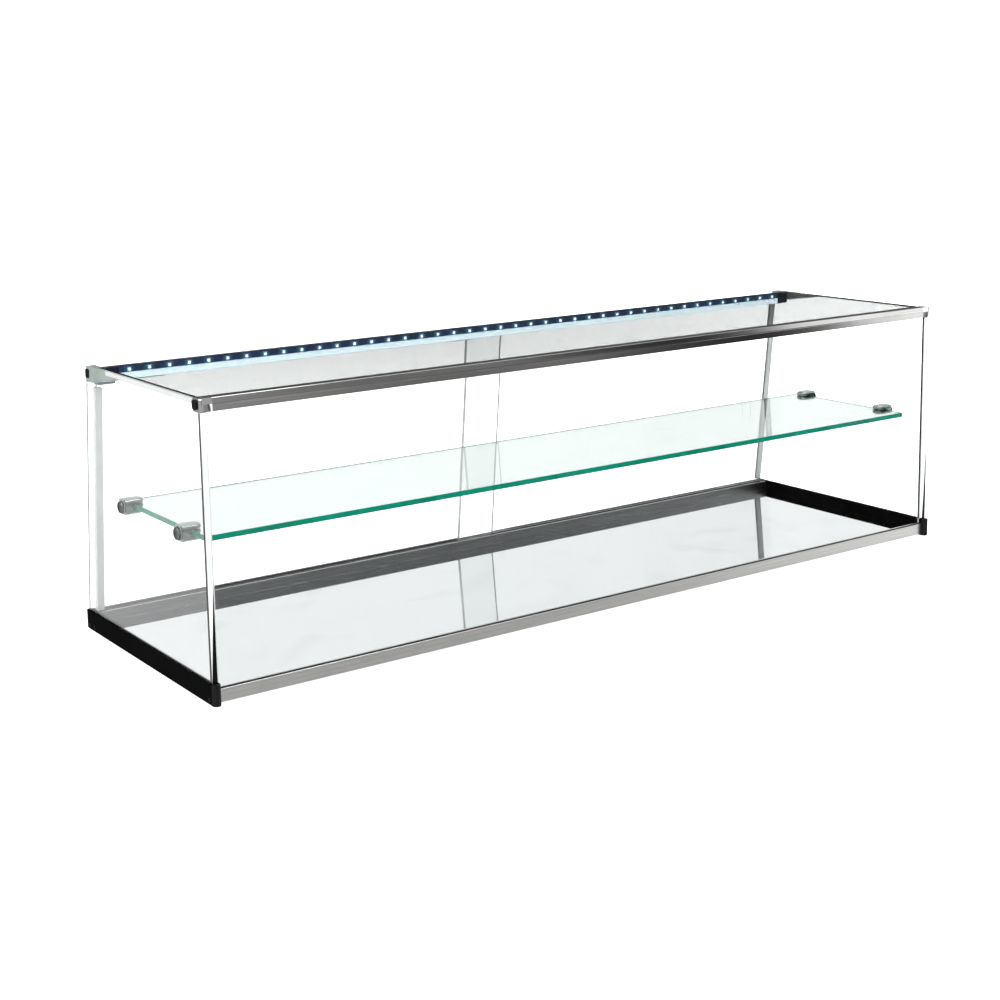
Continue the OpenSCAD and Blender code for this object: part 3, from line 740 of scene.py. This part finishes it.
def reflector_white():
    settings = finish_settings()
    made = Finish("Reflector_white", (0.82, 0.84, 0.84), 0.35)
    speckle = made.effect(fine_speckle(), Grains=1800.0)
    made.mix_color(speckle["Mottle"], (0.76, 0.80, 0.80), (0.84, 0.86, 0.86))
    made.vary("Roughness", speckle["Speckle"], 0.28, 0.42)
    # Painted glow: the reflector gives off a pale blue light that stands for the chips' light falling on it.
    made.set("Emission Color", (0.70, 0.92, 1.0, 1))
    made.set("Emission Strength", 1.8)
    return made.material


def floor_white():
    """A white floor with a painted pool of light: its emission makes it brighter towards the far right, where
    the studio light falls on it.
    """
    near_glow, far_glow = 0.95, 2.9
    made = Finish("Floor_white", (0.84, 0.84, 0.84), 0.6)
    speckle = made.effect(fine_speckle(), Grains=150.0)
    made.mix_color(speckle["Mottle"], (0.82, 0.82, 0.82), (0.86, 0.86, 0.86))
    made.vary("Roughness", speckle["Speckle"], 0.55, 0.7)
    # Painted light: the floor's emission rises from near_glow to far_glow along +X.
    far = ramp_node(made.tree, made.place()["X"], 0.9, 3.2)
    made.mix_color(far, shaded((1, 1, 1), near_glow / far_glow), (1, 1, 1), "Emission Color")
    made.set("Emission Strength", far_glow)
    made.hide_from_mirrors()
    return made.material


FINISHES = {
    "black": anodised_black,
    "bare": bare_edge,
    "plastic": moulded_plastic,
    "rubber": rubber,
    "base_rail": front_base_metal,
    "rear_rail": rear_base_metal,
    "top_rail": top_rail_metal,
    "rear_top": rear_top_metal,
    "corner": polished_metal,
    "tray": mirror_steel,
    "cap": painted_cap,
    "cover": cover_finish,
    "board": fibreboard,
    "glass": clear_glass,
    "glass_edge": ground_edge,
    "left_edge": partial(side_edge, "left"),
    "right_edge": partial(side_edge, "right"),
    "shelf": shelf_face,
    "shelf_edge": shelf_edge,
    "shelf_arris_highlight": shelf_arris_highlight,
    "chrome": chrome,
    "steel": screw_steel,
    "black_screw": black_screw,
    "seal": clear_seal,
    "door_seal": door_seal,
    "nylon": nylon,
    "strip": circuit_strip,
    "chip": chip_body,
    "lens": chip_lens,
    "resistor": resistor,
    "reflector": reflector_white,
    "floor": floor_white,
}
made_finishes = {}


def finish(name):
    """The material of a finish, made the first time that it is asked for."""
    if name not in made_finishes:
        made_finishes[name] = FINISHES[name]()
    return made_finishes[name]


# ---- Shapes ----


def node_shape(node):
    """A CAD node's shape as a clean bmesh: doubles merged and flat areas joined up."""
    shape = bmesh.new()
    shape.from_mesh(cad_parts[node].data)
    bmesh.ops.remove_doubles(shape, verts=shape.verts, dist=TINY)
    bmesh.ops.dissolve_limit(
        shape, angle_limit=math.radians(0.6), use_dissolve_boundaries=False,
        verts=shape.verts, edges=shape.edges,
    )
    shape.normal_update()
    return shape


def mark_curves(shape, sharp=math.radians(32)):
    """Shades curved areas smooth and flat ones flat."""
    shape.normal_update()
    for edge in shape.edges:
        edge.smooth = edge.calc_face_angle(0) < sharp
    for face in shape.faces:
        face.smooth = any(math.radians(1) < e.calc_face_angle(0) < sharp for e in face.edges)


def break_edges(shape, width, segments=2, shortest=2.5 * MM, pick=None):
    """Bevels the outer edges that a maker would break, marks the new faces and returns them."""
    mark_curves(shape)
    edges = [
        e for e in shape.edges
        if e.calc_face_angle(0) > math.radians(38) and e.is_convex and e.calc_length() > shortest
        and (pick is None or pick(e))
    ]
    made = bmesh.ops.bevel(
        shape, geom=edges, offset=width, offset_type="OFFSET", segments=segments, profile=0.5,
        affect="EDGES", clamp_overlap=True, material=-1, loop_slide=True,
    )
    layer = shape.faces.layers.float.get("arris") or shape.faces.layers.float.new("arris")
    for face in made["faces"]:
        if face.is_valid:
            face[layer] = 1.0
            face.smooth = True
    shape.normal_update()
    for edge in shape.edges:
        edge.smooth = edge.calc_face_angle(0) < math.radians(40)
    return [f for f in made["faces"] if f.is_valid]


def place_piece(shape, name, body, finishes, nodes=()):
    """Turns a bmesh into a piece that rides on a body and stands for CAD nodes."""
    mesh = bpy.data.meshes.new(name)
    shape.to_mesh(mesh)
    shape.free()
    for key in finishes:
        mesh.materials.append(finish(key))
    piece = bpy.data.objects.new(name, mesh)
    bpy.context.scene.collection.objects.link(piece)
    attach(piece, body)
    if nodes:
        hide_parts(*nodes)
    return piece


def refine(node, body, slot, finishes, width, **options):
    """A CAD node's shape with broken edges, as a piece."""
    shape = node_shape(node)
    break_edges(shape, width, **options)
    return place_piece(shape, node + "_piece", body, finishes, (node,))


def pane(node, body, finishes):
    """A glass pane: clear faces, edges and broken arrises each have their finish."""
    shape = node_shape(node)
    broad = max(shape.faces, key=lambda f: f.calc_area()).normal.copy()
    break_edges(shape, detail_settings().glass_arris, segments=1, shortest=12 * MM)
    layer = shape.faces.layers.float.get("arris")
    for face in shape.faces:
        if face[layer] > 0.5:
            face.material_index = 2
        elif abs(face.normal.dot(broad)) < 0.9:
            face.material_index = 1
    return place_piece(shape, node + "_piece", body, finishes, (node,))


def add_part(shape, part):
    """Adds one bmesh to another, and frees it."""
    mesh = bpy.data.meshes.new("part")
    part.to_mesh(mesh)
    part.free()
    shape.from_mesh(mesh)
    bpy.data.meshes.remove(mesh)


def turned(shape, profile, steps, place, flats=None):
    """Adds a shape turned about its own X axis to a bmesh.

    profile holds (distance along the axis, radius) pairs that start and end on the axis. flats names a radius
    that becomes a hexagon across corners, for a socket.
    """
    part = bmesh.new()
    corners = [part.verts.new((along, 0, radius)) for along, radius in profile]
    lines = [part.edges.new(pair) for pair in zip(corners, corners[1:])]
    bmesh.ops.spin(
        part, geom=corners + lines, cent=(0, 0, 0), axis=(1, 0, 0), dvec=(0, 0, 0),
        angle=2 * math.pi, steps=steps, use_merge=True, use_duplicate=False,
    )
    bmesh.ops.remove_doubles(part, verts=part.verts, dist=TINY / 5)
    if flats:
        for corner in part.verts:
            radius = math.hypot(corner.co.y, corner.co.z)
            if abs(radius - flats) < TINY:
                turn = math.atan2(corner.co.z, corner.co.y) % (math.pi / 3) - math.pi / 6
                share = math.cos(math.pi / 6) / math.cos(turn)
                corner.co.y *= share
                corner.co.z *= share
    bmesh.ops.recalc_face_normals(part, faces=part.faces)
    mark_curves(part)
    bmesh.ops.transform(part, matrix=place, verts=part.verts)
    add_part(shape, part)


def block(shape, low, high, width=0.0, index=0):
    """Adds a box from its two corners, with broken edges where a width is given."""
    part = bmesh.new()
    bmesh.ops.create_cube(part, size=1.0)
    size, centre = high - low, (high + low) / 2
    bmesh.ops.scale(part, vec=size, verts=part.verts)
    bmesh.ops.translate(part, vec=centre, verts=part.verts)
    if width:
        bmesh.ops.bevel(
            part, geom=part.edges[:], offset=width, offset_type="OFFSET", segments=1, profile=0.5,
            affect="EDGES", clamp_overlap=True, material=-1,
        )
    for face in part.faces:
        face.material_index = index
    add_part(shape, part)


def chip_places():
    """The middle of each chip along X, read from the CAD node."""
    xs = sorted({round(v.co.x, 5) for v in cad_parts["led_chips"].data.vertices})
    return [(a + b) / 2 for a, b in zip(xs[::2], xs[1::2])]


# ---- Operators: the stage and the pieces ----


class CaseOperator(bpy.types.Operator):
    """What the case's operators share."""

    bl_options = {"REGISTER", "UNDO"}

    def execute(self, context):
        self.build()
        return {"FINISHED"}


class DISPLAYCASE_OT_stage(CaseOperator):
    """Set up the camera, the white floor and the soft studio light"""

    bl_idname = "displaycase.stage"
    bl_label = "Stage"

    # Brightness of the studio round the case, by the angle from the customer's side (-Y) towards +X
    ring = (
        (-180, 0.10), (-166, 0.12), (-152, 0.40), (-90, 0.70), (-50, 0.9), (-20, 0.55), (10, 0.50),
        (25, 0.44), (28, 0.40), (30, 0.30), (33, 0.24), (38, 0.28), (40, 0.14), (42, 0.07), (44, 0.04),
        (46.2, 0.07), (47.2, 0.7), (48.5, 1.5), (55, 1.5), (70, 1.2), (95, 0.6), (120, 0.12), (180, 0.10),
    )

    brightest = 2.0    # level that the top of the ring's curve stands for

    # Name, place, aim, width, height and watts of each soft panel
    panels = (
        ("Overhead_panel", (0.1, -0.6, 2.2), (0, -0.1, 0), 2.0, 0.7, 26),
        ("Left_panel", (-2.2, -0.5, 1.0), (0, 0, 0.2), 0.8, 1.6, 10),
    )

    def build(self):
        self.camera()
        self.floor()
        self.world()
        self.softboxes()
        bpy.context.scene.view_settings.view_transform = "Standard"

    def camera(self):
        studio = studio_settings()
        az, el = studio.azimuth, studio.elevation
        ahead = Vector((math.sin(az) * math.cos(el), math.cos(az) * math.cos(el), -math.sin(el)))
        right = Vector((math.cos(az), -math.sin(az), 0))
        up = right.cross(ahead)
        c, s = math.cos(studio.roll), math.sin(studio.roll)
        axes = Matrix((c * right + s * up, -s * right + c * up, -ahead)).transposed()
        data = bpy.data.cameras.new("Case_camera")
        data.sensor_width = 36
        data.lens = studio.lens
        data.shift_y = studio.shift_y
        data.dof.use_dof = False
        data.clip_start, data.clip_end = 0.01, 100
        camera = bpy.data.objects.new("Case_camera", data)
        camera.matrix_world = Matrix.Translation(studio.place) @ axes.to_4x4()
        bpy.context.scene.collection.objects.link(camera)
        bpy.context.scene.camera = camera

    def floor(self):
        shape = bmesh.new()
        half = studio_settings().floor_size / 2
        bmesh.ops.create_grid(shape, x_segments=4, y_segments=4, size=half)
        mesh = bpy.data.meshes.new("Floor")
        shape.to_mesh(mesh)
        shape.free()
        mesh.materials.append(finish("floor"))
        floor = bpy.data.objects.new("Floor", mesh)
        floor.visible_glossy = False
        bpy.context.scene.collection.objects.link(floor)

    def world(self):
        """A white backdrop, direct and through glass, and a grey studio in reflections."""
        studio = studio_settings()
        world = bpy.data.worlds.new("Studio")
        world.use_nodes = True
        world.cycles.sampling_method = "NONE"
        bpy.context.scene.world = world
        tree = world.node_tree
        background = next(n for n in tree.nodes if n.type == "BACKGROUND")
        background.inputs["Color"].default_value = (1, 1, 1, 1)
        direction = tree.nodes.new("ShaderNodeTexCoord")
        parts = tree.nodes.new("ShaderNodeSeparateXYZ")
        tree.links.new(direction.outputs["Generated"], parts.inputs[0])
        toward = math_node(tree, "MULTIPLY", parts.outputs["Y"], -1.0)
        light = tree.nodes.new("ShaderNodeLightPath")
        in_metal, in_glass = self.mirrored_levels(tree, parts.outputs, toward)
        seen = self.blend(tree, light.outputs["Is Singular Ray"], in_metal, in_glass)
        sharp = math_node(tree, "SUBTRACT", 1.0, light.outputs["Is Diffuse Ray"])
        mirrored = math_node(tree, "MULTIPLY", light.outputs["Is Reflection Ray"], sharp)
        inside = self.from_inside(tree, parts.outputs, toward, light)
        behind = math_node(tree, "MULTIPLY", ramp_node(tree, parts.outputs["Y"], 0.0, 0.35), studio.back_glow)
        inner = math_node(tree, "MAXIMUM", in_metal, behind)
        bounced = math_node(tree, "MINIMUM", light.outputs["Glossy Depth"], 1.0)
        through = self.blend(tree, bounced, studio.through, self.blend(tree, inside, seen, inner))
        passed = self.blend(tree, light.outputs["Is Transmission Ray"], studio.backdrop, through)
        tree.links.new(self.blend(tree, mirrored, passed, seen), background.inputs["Strength"])

    def mirrored_levels(self, tree, direction, toward):
        """The studio's brightness as metal mirrors it, and as polished glass does."""
        studio = studio_settings()
        angle = math_node(tree, "ARCTAN2", direction["X"], toward)
        share = math_node(tree, "MULTIPLY_ADD", angle, 1 / (2 * math.pi), 0.5)
        studio_ring = tree.nodes.new("ShaderNodeFloatCurve")
        self.shape_ring(studio_ring.mapping)
        tree.links.new(share, studio_ring.inputs["Value"])
        level = math_node(tree, "MULTIPLY", studio_ring.outputs[0], self.brightest)
        away = ramp_node(tree, direction["Y"], 0.0, 0.1)
        low = math_node(tree, "SUBTRACT", 1.0, ramp_node(tree, direction["Z"], -0.05, 0.05))
        low_away = math_node(tree, "MULTIPLY", away, low)
        guided = math_node(tree, "MULTIPLY_ADD", low_away, studio.in_edges, studio.in_glass)
        above = ramp_node(tree, direction["Z"], 0.50, 0.75)
        in_metal = self.blend(tree, above, level, studio.overhead)
        in_glass = self.blend(tree, above, guided, studio.overhead)
        return in_metal, in_glass

    def from_inside(self, tree, direction, toward, light):
        """1 for a ray that went in through a pane, met a mirror and came out: its passes of glass tell."""
        passes = light.outputs["Transmission Depth"]
        two_panes = math_node(tree, "GREATER_THAN", passes, 3.5)
        one_pane = math_node(tree, "GREATER_THAN", passes, 1.5)
        front, up = ramp_node(tree, toward, 0.0, 0.1), ramp_node(tree, direction["Z"], 0.0, 0.05)
        up_front = math_node(tree, "MULTIPLY", front, up)
        return math_node(tree, "MAXIMUM", two_panes, math_node(tree, "MULTIPLY", one_pane, up_front))

    def shape_ring(self, mapping):
        """Draws the ring's brightness into a curve, as a share of the brightest."""
        curve = mapping.curves[0]
        points = [((angle + 180) / 360, level / self.brightest) for angle, level in self.ring]
        curve.points[0].location = points[0]
        curve.points[1].location = points[-1]
        for spot in points[1:-1]:
            curve.points.new(*spot)
        for point in curve.points:
            point.handle_type = "VECTOR"
        mapping.update()

    def blend(self, tree, mask, low, high):
        """A number between two numbers or sockets, by a mask."""
        mix = tree.nodes.new("ShaderNodeMix")
        tree.links.new(mask, mix.inputs[0])
        for slot, value in ((mix.inputs[2], low), (mix.inputs[3], high)):
            if isinstance(value, (int, float)):
                slot.default_value = value
            else:
                tree.links.new(value, slot)
        return mix.outputs[0]

    def softboxes(self):
        """Two soft panels that show in polished metal: one overhead, one to the left."""
        for name, place, aim, wide, high, power in self.panels:
            data = bpy.data.lights.new(name, "AREA")
            data.shape = "RECTANGLE"
            data.size, data.size_y = wide, high
            data.energy = power
            lamp = bpy.data.objects.new(name, data)
            lamp.location = place
            lamp.rotation_euler = (Vector(aim) - Vector(place)).to_track_quat("-Z", "Y").to_euler()
            lamp.visible_camera = False
            lamp.visible_diffuse = False
            bpy.context.scene.collection.objects.link(lamp)


class DISPLAYCASE_OT_profiles(CaseOperator):
    """Build the black side profiles with their caps, feet and screws"""

    bl_idname = "displaycase.profiles"
    bl_label = "Side profiles and feet"

    def build(self):
        detail = detail_settings()
        for side in SIDES:
            self.profile(side)
            for end in ENDS:
                refine(f"{side}_{end}_foot_cap", "case", "black_plastic", ("plastic",), detail.cap_arris)
            refine(f"{side}_foot_strip", "case", "foot_rubber", ("rubber",), detail.seal_arris)
        refine("centre_feet", "case", "foot_rubber", ("rubber",), detail.cap_arris, shortest=0.0)
        self.screws()

    def profile(self, side):
        """A side profile, with bare metal along its inner top edges."""
        node = f"{side}_side_profile"
        low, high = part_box(node)
        inner = high.x if side == "left" else low.x
        shape = node_shape(node)
        for face in break_edges(shape, detail_settings().profile_arris, segments=2, shortest=8 * MM):
            centre = face.calc_center_median()
            if abs(centre.x - inner) < 1.2 * MM and centre.z > high.z - 1 * MM:
                face.material_index = 1
        place_piece(shape, node + "_piece", "case", ("black", "bare"), (node,))

    def screws(self):
        """Countersunk screws with hexagon sockets through the side profiles."""
        low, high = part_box("frame_screws")
        head, shaft, socket = 2.5 * MM, 1.5 * MM, 1.3 * MM
        depth, head_depth, reach = 1.1 * MM, 1.9 * MM, 18 * MM
        profile = [
            (depth, 0), (depth, socket), (0, socket), (0, head - 0.2 * MM), (0.2 * MM, head),
            (head_depth - 0.5 * MM, head), (head_depth, shaft), (reach, shaft), (reach, 0),
        ]
        spots = self.screw_spots()
        shape = bmesh.new()
        for side in SIDES:
            start = low.x if side == "left" else high.x
            turn = Matrix.Identity(4) if side == "left" else Matrix.Rotation(math.pi, 4, "Z")
            for y in spots:
                place = Matrix.Translation((start, y, (low.z + high.z) / 2)) @ turn
                turned(shape, profile, detail_settings().round_steps, place, flats=socket)
        place_piece(shape, "frame_screws_piece", "case", ("black_screw",), ("frame_screws",))

    def screw_spots(self):
        """Where the frame screws stand along Y, read from the CAD node's groups of points."""
        ys = sorted({round(v.co.y, 5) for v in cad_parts["frame_screws"].data.vertices})
        groups = [[ys[0]]]
        for y in ys[1:]:
            if y - groups[-1][-1] > 1.2 * MM:
                groups.append([y])
            else:
                groups[-1].append(y)
        return [(group[0] + group[-1]) / 2 for group in groups]


class DISPLAYCASE_OT_base(CaseOperator):
    """Build the base rails, the board and the mirror tray"""

    bl_idname = "displaycase.base"
    bl_label = "Base"

    def build(self):
        detail = detail_settings()
        rail = detail.rail_arris
        refine("front_base_rail", "case", "base_rail_aluminium", ("base_rail",), rail, shortest=8 * MM)
        refine("rear_base_rail", "case", "dark_rail_aluminium", ("rear_rail",), rail, shortest=8 * MM)
        refine("base_board", "case", "board", ("board",), rail)
        refine("base_tray", "case", "mirror_steel", ("tray",), detail.seal_arris)


class DISPLAYCASE_OT_glazing(CaseOperator):
    """Build the fixed glass: sides, front, top and shelf"""

    bl_idname = "displaycase.glazing"
    bl_label = "Fixed glass and shelf"

    def build(self):
        for side in SIDES:
            pane(f"{side}_side_glass", "case", ("glass", f"{side}_edge", "glass_edge"))
        for node in ("front_glass", "top_glass"):
            pane(node, "case", ("glass", "glass_edge", "glass_edge"))
        pane("shelf_glass", "case", ("shelf", "shelf_edge", "shelf_arris_highlight"))


class DISPLAYCASE_OT_seals(CaseOperator):
    """Build the gasket and the clear seals"""

    bl_idname = "displaycase.seals"
    bl_label = "Seals"

    def build(self):
        soft = detail_settings().seal_arris
        refine("front_glass_gasket", "case", "gasket_rubber", ("rubber",), soft)
        for side in SIDES:
            refine(f"{side}_corner_seal", "case", "clear_seal", ("seal",), soft)
            refine(f"{side}_top_seal", "case", "clear_seal", ("seal",), soft)


class DISPLAYCASE_OT_top_frame(CaseOperator):
    """Build the top rails with their corner pieces, plugs, caps and cover"""

    bl_idname = "displaycase.top_frame"
    bl_label = "Top rails"

    def build(self):
        detail = detail_settings()
        rail, cap = detail.rail_arris, detail.cap_arris
        refine("front_top_rail", "case", "top_rail_aluminium", ("top_rail",), rail, shortest=8 * MM)
        refine("rear_top_rail", "case", "top_rail_aluminium", ("rear_top",), rail, shortest=8 * MM)
        refine("rear_top_cover", "case", "cover_navy", ("cover",), detail.seal_arris)
        for side in SIDES:
            refine(f"front_{side}_corner", "case", "polished_corner", ("corner",), rail)
            for end in ENDS:
                plug = f"{end}_{side}_plug"
                refine(plug, "case", "black_plastic", ("plastic",), detail.seal_arris, shortest=0.0)
            refine(f"rear_{side}_end_cap", "case", "end_cap_grey", ("cap",), cap, shortest=1.5 * MM)


class DISPLAYCASE_OT_lighting(CaseOperator):
    """Build the light strip with its chips, the reflector and the socket for its lead"""

    bl_idname = "displaycase.lighting"
    bl_label = "Lighting"

    def build(self):
        soft = detail_settings().seal_arris
        refine("light_reflector", "case", "reflector_white", ("reflector",), soft)
        refine("power_inlet", "case", "black_plastic", ("plastic",), soft, shortest=0.0)
        self.strip()
        self.chips()

    def strip(self):
        """The circuit strip, with a small resistor beside every third chip."""
        shape = node_shape("led_strip")
        break_edges(shape, 0.1 * MM, segments=1)
        low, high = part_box("led_strip")
        places = chip_places()
        for x in places[1::3]:
            middle = Vector((x + (places[1] - places[0]) / 2, low.y, (low.z + high.z) / 2))
            size = Vector((1.6, 0.45, 0.8)) * MM
            block(shape, middle - Vector((size.x / 2, size.y, size.z / 2)),
                  middle + Vector((size.x / 2, 0, size.z / 2)), 0.08 * MM, 1)
        place_piece(shape, "led_strip_piece", "case", ("strip", "resistor"), ("led_strip",))

    def chips(self):
        """The row of light-emitting chips."""
        shape = bmesh.new()
        for x in chip_places():
            self.chip(shape, x)
        place_piece(shape, "led_chips_piece", "case", ("chip", "lens"), ("led_chips",))

    def chip(self, shape, x):
        """A moulded body with a recess, and a domed lens in it."""
        low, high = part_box("led_chips")
        rim, recess = 0.2 * MM, 0.3 * MM
        lens_sink, lens_bulge, lens_spread = 0.62 * MM, 0.32, 0.95
        wide = high.z - low.z
        middle = Vector((x, (low.y + high.y) / 2, (low.z + high.z) / 2))
        part = bmesh.new()
        bmesh.ops.create_cube(part, size=1.0)
        bmesh.ops.scale(part, vec=(wide, high.y - low.y, wide), verts=part.verts)
        bmesh.ops.translate(part, vec=middle, verts=part.verts)
        front = [f for f in part.faces if f.normal.y < -0.9]
        bmesh.ops.inset_individual(part, faces=front, thickness=rim, depth=-recess, use_even_offset=True)
        radius = detail_settings().lens_radius
        dome = bmesh.ops.create_uvsphere(part, u_segments=16, v_segments=8, radius=radius)["verts"]
        bmesh.ops.scale(part, vec=(lens_spread, lens_bulge, lens_spread), verts=dome)
        bmesh.ops.translate(part, vec=(x, low.y + lens_sink, middle.z), verts=dome)
        for face in {face for corner in dome for face in corner.link_faces}:
            face.material_index = 1
            face.smooth = True
        add_part(shape, part)


class DISPLAYCASE_OT_clamps(CaseOperator):
    """Build the chrome shelf clamps with their bolts, bushes, pads and set screws"""

    bl_idname = "displaycase.clamps"
    bl_label = "Shelf clamps"

    def build(self):
        soft = detail_settings().seal_arris
        for side in SIDES:
            for end in ENDS:
                self.clamp(side, end)
        refine("clamp_pads", "case", "clear_seal", ("seal",), soft)
        refine("clamp_bushes", "case", "clear_seal", ("seal",), soft, shortest=0.0)
        self.bolts()
        self.set_screws()

    def clamp(self, side, end):
        """A bar with a round nose and soft edges; its slot takes the shelf."""
        detail = detail_settings()
        node = f"{side}_{end}_clamp"
        low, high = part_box(node)
        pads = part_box("clamp_pads")
        reach, wide, tall = high.x - low.x, high.y - low.y, high.z - low.z
        slot_low, slot_high = pads[0].z - low.z, pads[1].z - low.z
        web = 8 * MM
        shape = bmesh.new()
        outline = [
            (0, 0), (reach, 0), (reach, slot_low), (web, slot_low),
            (web, slot_high), (reach, slot_high), (reach, tall), (0, tall),
        ]
        section = shape.faces.new([shape.verts.new((x, 0, z)) for x, z in outline])
        pushed = bmesh.ops.extrude_face_region(shape, geom=[section])
        moved = [g for g in pushed["geom"] if isinstance(g, bmesh.types.BMVert)]
        bmesh.ops.translate(shape, vec=(0, wide, 0), verts=moved)
        bmesh.ops.recalc_face_normals(shape, faces=shape.faces)
        self.round_off(shape, detail.clamp_nose, 12, lambda a, b: a.x > reach - TINY and abs(a.z - b.z) > TINY
                       and b.x > reach - TINY)
        self.round_off(shape, detail.clamp_edge, 6, lambda a, b: abs(a.z - b.z) < TINY
                       and (a.z < TINY or a.z > tall - TINY) and max(a.x, b.x) > TINY)
        self.round_off(shape, 0.35 * MM, 2, lambda a, b: abs(a.z - b.z) < TINY and min(a.x, b.x) > web + TINY
                       and (abs(a.z - slot_low) < TINY or abs(a.z - slot_high) < TINY))
        if side == "right":
            bmesh.ops.scale(shape, vec=(-1, 1, 1), verts=shape.verts)
            bmesh.ops.reverse_faces(shape, faces=shape.faces)
            bmesh.ops.translate(shape, vec=(high.x, low.y, low.z), verts=shape.verts)
        else:
            bmesh.ops.translate(shape, vec=(low.x, low.y, low.z), verts=shape.verts)
        mark_curves(shape)
        place_piece(shape, node + "_piece", "case", ("chrome",), (node,))

    def round_off(self, shape, radius, steps, pick):
        """Rounds the sharp edges whose end points pass a test."""
        edges = [
            e for e in shape.edges
            if pick(e.verts[0].co, e.verts[1].co) and e.calc_face_angle(0) > math.radians(38)
        ]
        bmesh.ops.bevel(
            shape, geom=edges, offset=radius, offset_type="OFFSET", segments=steps, profile=0.5,
            affect="EDGES", clamp_overlap=True, material=-1, loop_slide=True,
        )
        bmesh.ops.remove_doubles(shape, verts=shape.verts, dist=TINY / 2)
        shape.normal_update()

    def middles(self):
        """Each clamp's side, and the middle of its height and width."""
        for side in SIDES:
            for end in ENDS:
                low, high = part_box(f"{side}_{end}_clamp")
                yield side, low, high, (low + high) / 2

    def bolts(self):
        """Bolts with a flat domed head and a hexagon socket, outside the side glass."""
        low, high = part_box("clamp_bolts")
        head, shaft, socket = 6.5 * MM, 2.5 * MM, 2.0 * MM
        thick, reach, depth = 1.3 * MM, 15.3 * MM, 0.9 * MM
        profile = [
            (depth, 0), (depth, socket), (0.02 * MM, socket), (0, socket + 0.3 * MM), (0.05 * MM, 4.6 * MM),
            (0.35 * MM, 5.9 * MM), (0.8 * MM, head), (thick, head), (thick, shaft), (reach, shaft),
            (reach, 0),
        ]
        shape = bmesh.new()
        for side, _, _, middle in self.middles():
            start = low.x if side == "left" else high.x
            turn = Matrix.Identity(4) if side == "left" else Matrix.Rotation(math.pi, 4, "Z")
            place = Matrix.Translation((start, middle.y, middle.z)) @ turn
            turned(shape, profile, detail_settings().round_steps, place, flats=socket)
        place_piece(shape, "clamp_bolts_piece", "case", ("chrome",), ("clamp_bolts",))

    def set_screws(self):
        """Small set screws flush with the underside of each clamp."""
        low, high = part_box("clamp_set_screws")
        radius, socket, depth = 2 * MM, 1.1 * MM, 0.9 * MM
        tall = high.z - low.z
        profile = [
            (depth, 0), (depth, socket), (0, socket), (0, radius - 0.3 * MM), (0.3 * MM, radius),
            (tall, radius), (tall, 0),
        ]
        inner = {"left": low.x + radius, "right": high.x - radius}
        stand = Matrix.Rotation(-math.pi / 2, 4, "Y")
        shape = bmesh.new()
        for side, clamp_low, _, middle in self.middles():
            place = Matrix.Translation((inner[side], middle.y, clamp_low.z + 0.01 * MM)) @ stand
            turned(shape, profile, 24, place, flats=socket)
        node = "clamp_set_screws"
        place_piece(shape, node + "_piece", "case", ("steel",), (node,))


class DISPLAYCASE_OT_doors(CaseOperator):
    """Build the two sliding doors with their glides, guides and seals, and the bumpers"""

    bl_idname = "displaycase.doors"
    bl_label = "Sliding doors"

    def build(self):
        soft = detail_settings().seal_arris
        for side in SIDES:
            body = f"{side}_door"
            pane(f"{side}_door_glass", body, ("glass", "glass_edge", "glass_edge"))
            refine(f"{side}_door_glides", body, "nylon", ("nylon",), soft, shortest=1 * MM)
            refine(f"{side}_door_guides", body, "nylon", ("nylon",), soft, shortest=1 * MM)
            refine(f"{side}_door_edge_seal", body, "clear_seal", ("door_seal",), soft)
        refine("door_bumpers", "case", "foot_rubber", ("rubber",), soft, shortest=0.0)


BUILD_ORDER = (
    DISPLAYCASE_OT_stage,
    DISPLAYCASE_OT_profiles,
    DISPLAYCASE_OT_base,
    DISPLAYCASE_OT_glazing,
    DISPLAYCASE_OT_seals,
    DISPLAYCASE_OT_top_frame,
    DISPLAYCASE_OT_lighting,
    DISPLAYCASE_OT_clamps,
    DISPLAYCASE_OT_doors,
)


class DISPLAYCASE_PT_panel(bpy.types.Panel):
    """Lists the case's settings and operators"""

    bl_idname = "DISPLAYCASE_PT_panel"
    bl_label = "Display case"
    bl_space_type = "VIEW_3D"
    bl_region_type = "UI"
    bl_category = "Display case"

    def draw(self, context):
        for operator in BUILD_ORDER:
            self.layout.operator(operator.bl_idname)
        for settings in (finish_settings(), detail_settings(), studio_settings()):
            box = self.layout.box()
            for name in settings.bl_rna.properties.keys():
                if name not in ("rna_type", "name"):
                    box.prop(settings, name)


CLASSES = (DisplayCaseFinish, DisplayCaseDetail, DisplayCaseStudio, *BUILD_ORDER, DISPLAYCASE_PT_panel)


def register():
    for cls in CLASSES:
        bpy.utils.register_class(cls)
    bpy.types.Scene.display_case_finish = PointerProperty(type=DisplayCaseFinish)
    bpy.types.Scene.display_case_detail = PointerProperty(type=DisplayCaseDetail)
    bpy.types.Scene.display_case_studio = PointerProperty(type=DisplayCaseStudio)


def unregister():
    del bpy.types.Scene.display_case_studio
    del bpy.types.Scene.display_case_detail
    del bpy.types.Scene.display_case_finish
    for cls in reversed(CLASSES):
        bpy.utils.unregister_class(cls)


def main():
    register()
    for operator in BUILD_ORDER:
        group, name = operator.bl_idname.split(".")
        getattr(getattr(bpy.ops, group), name)()


if __name__ == "__main__":
    main()
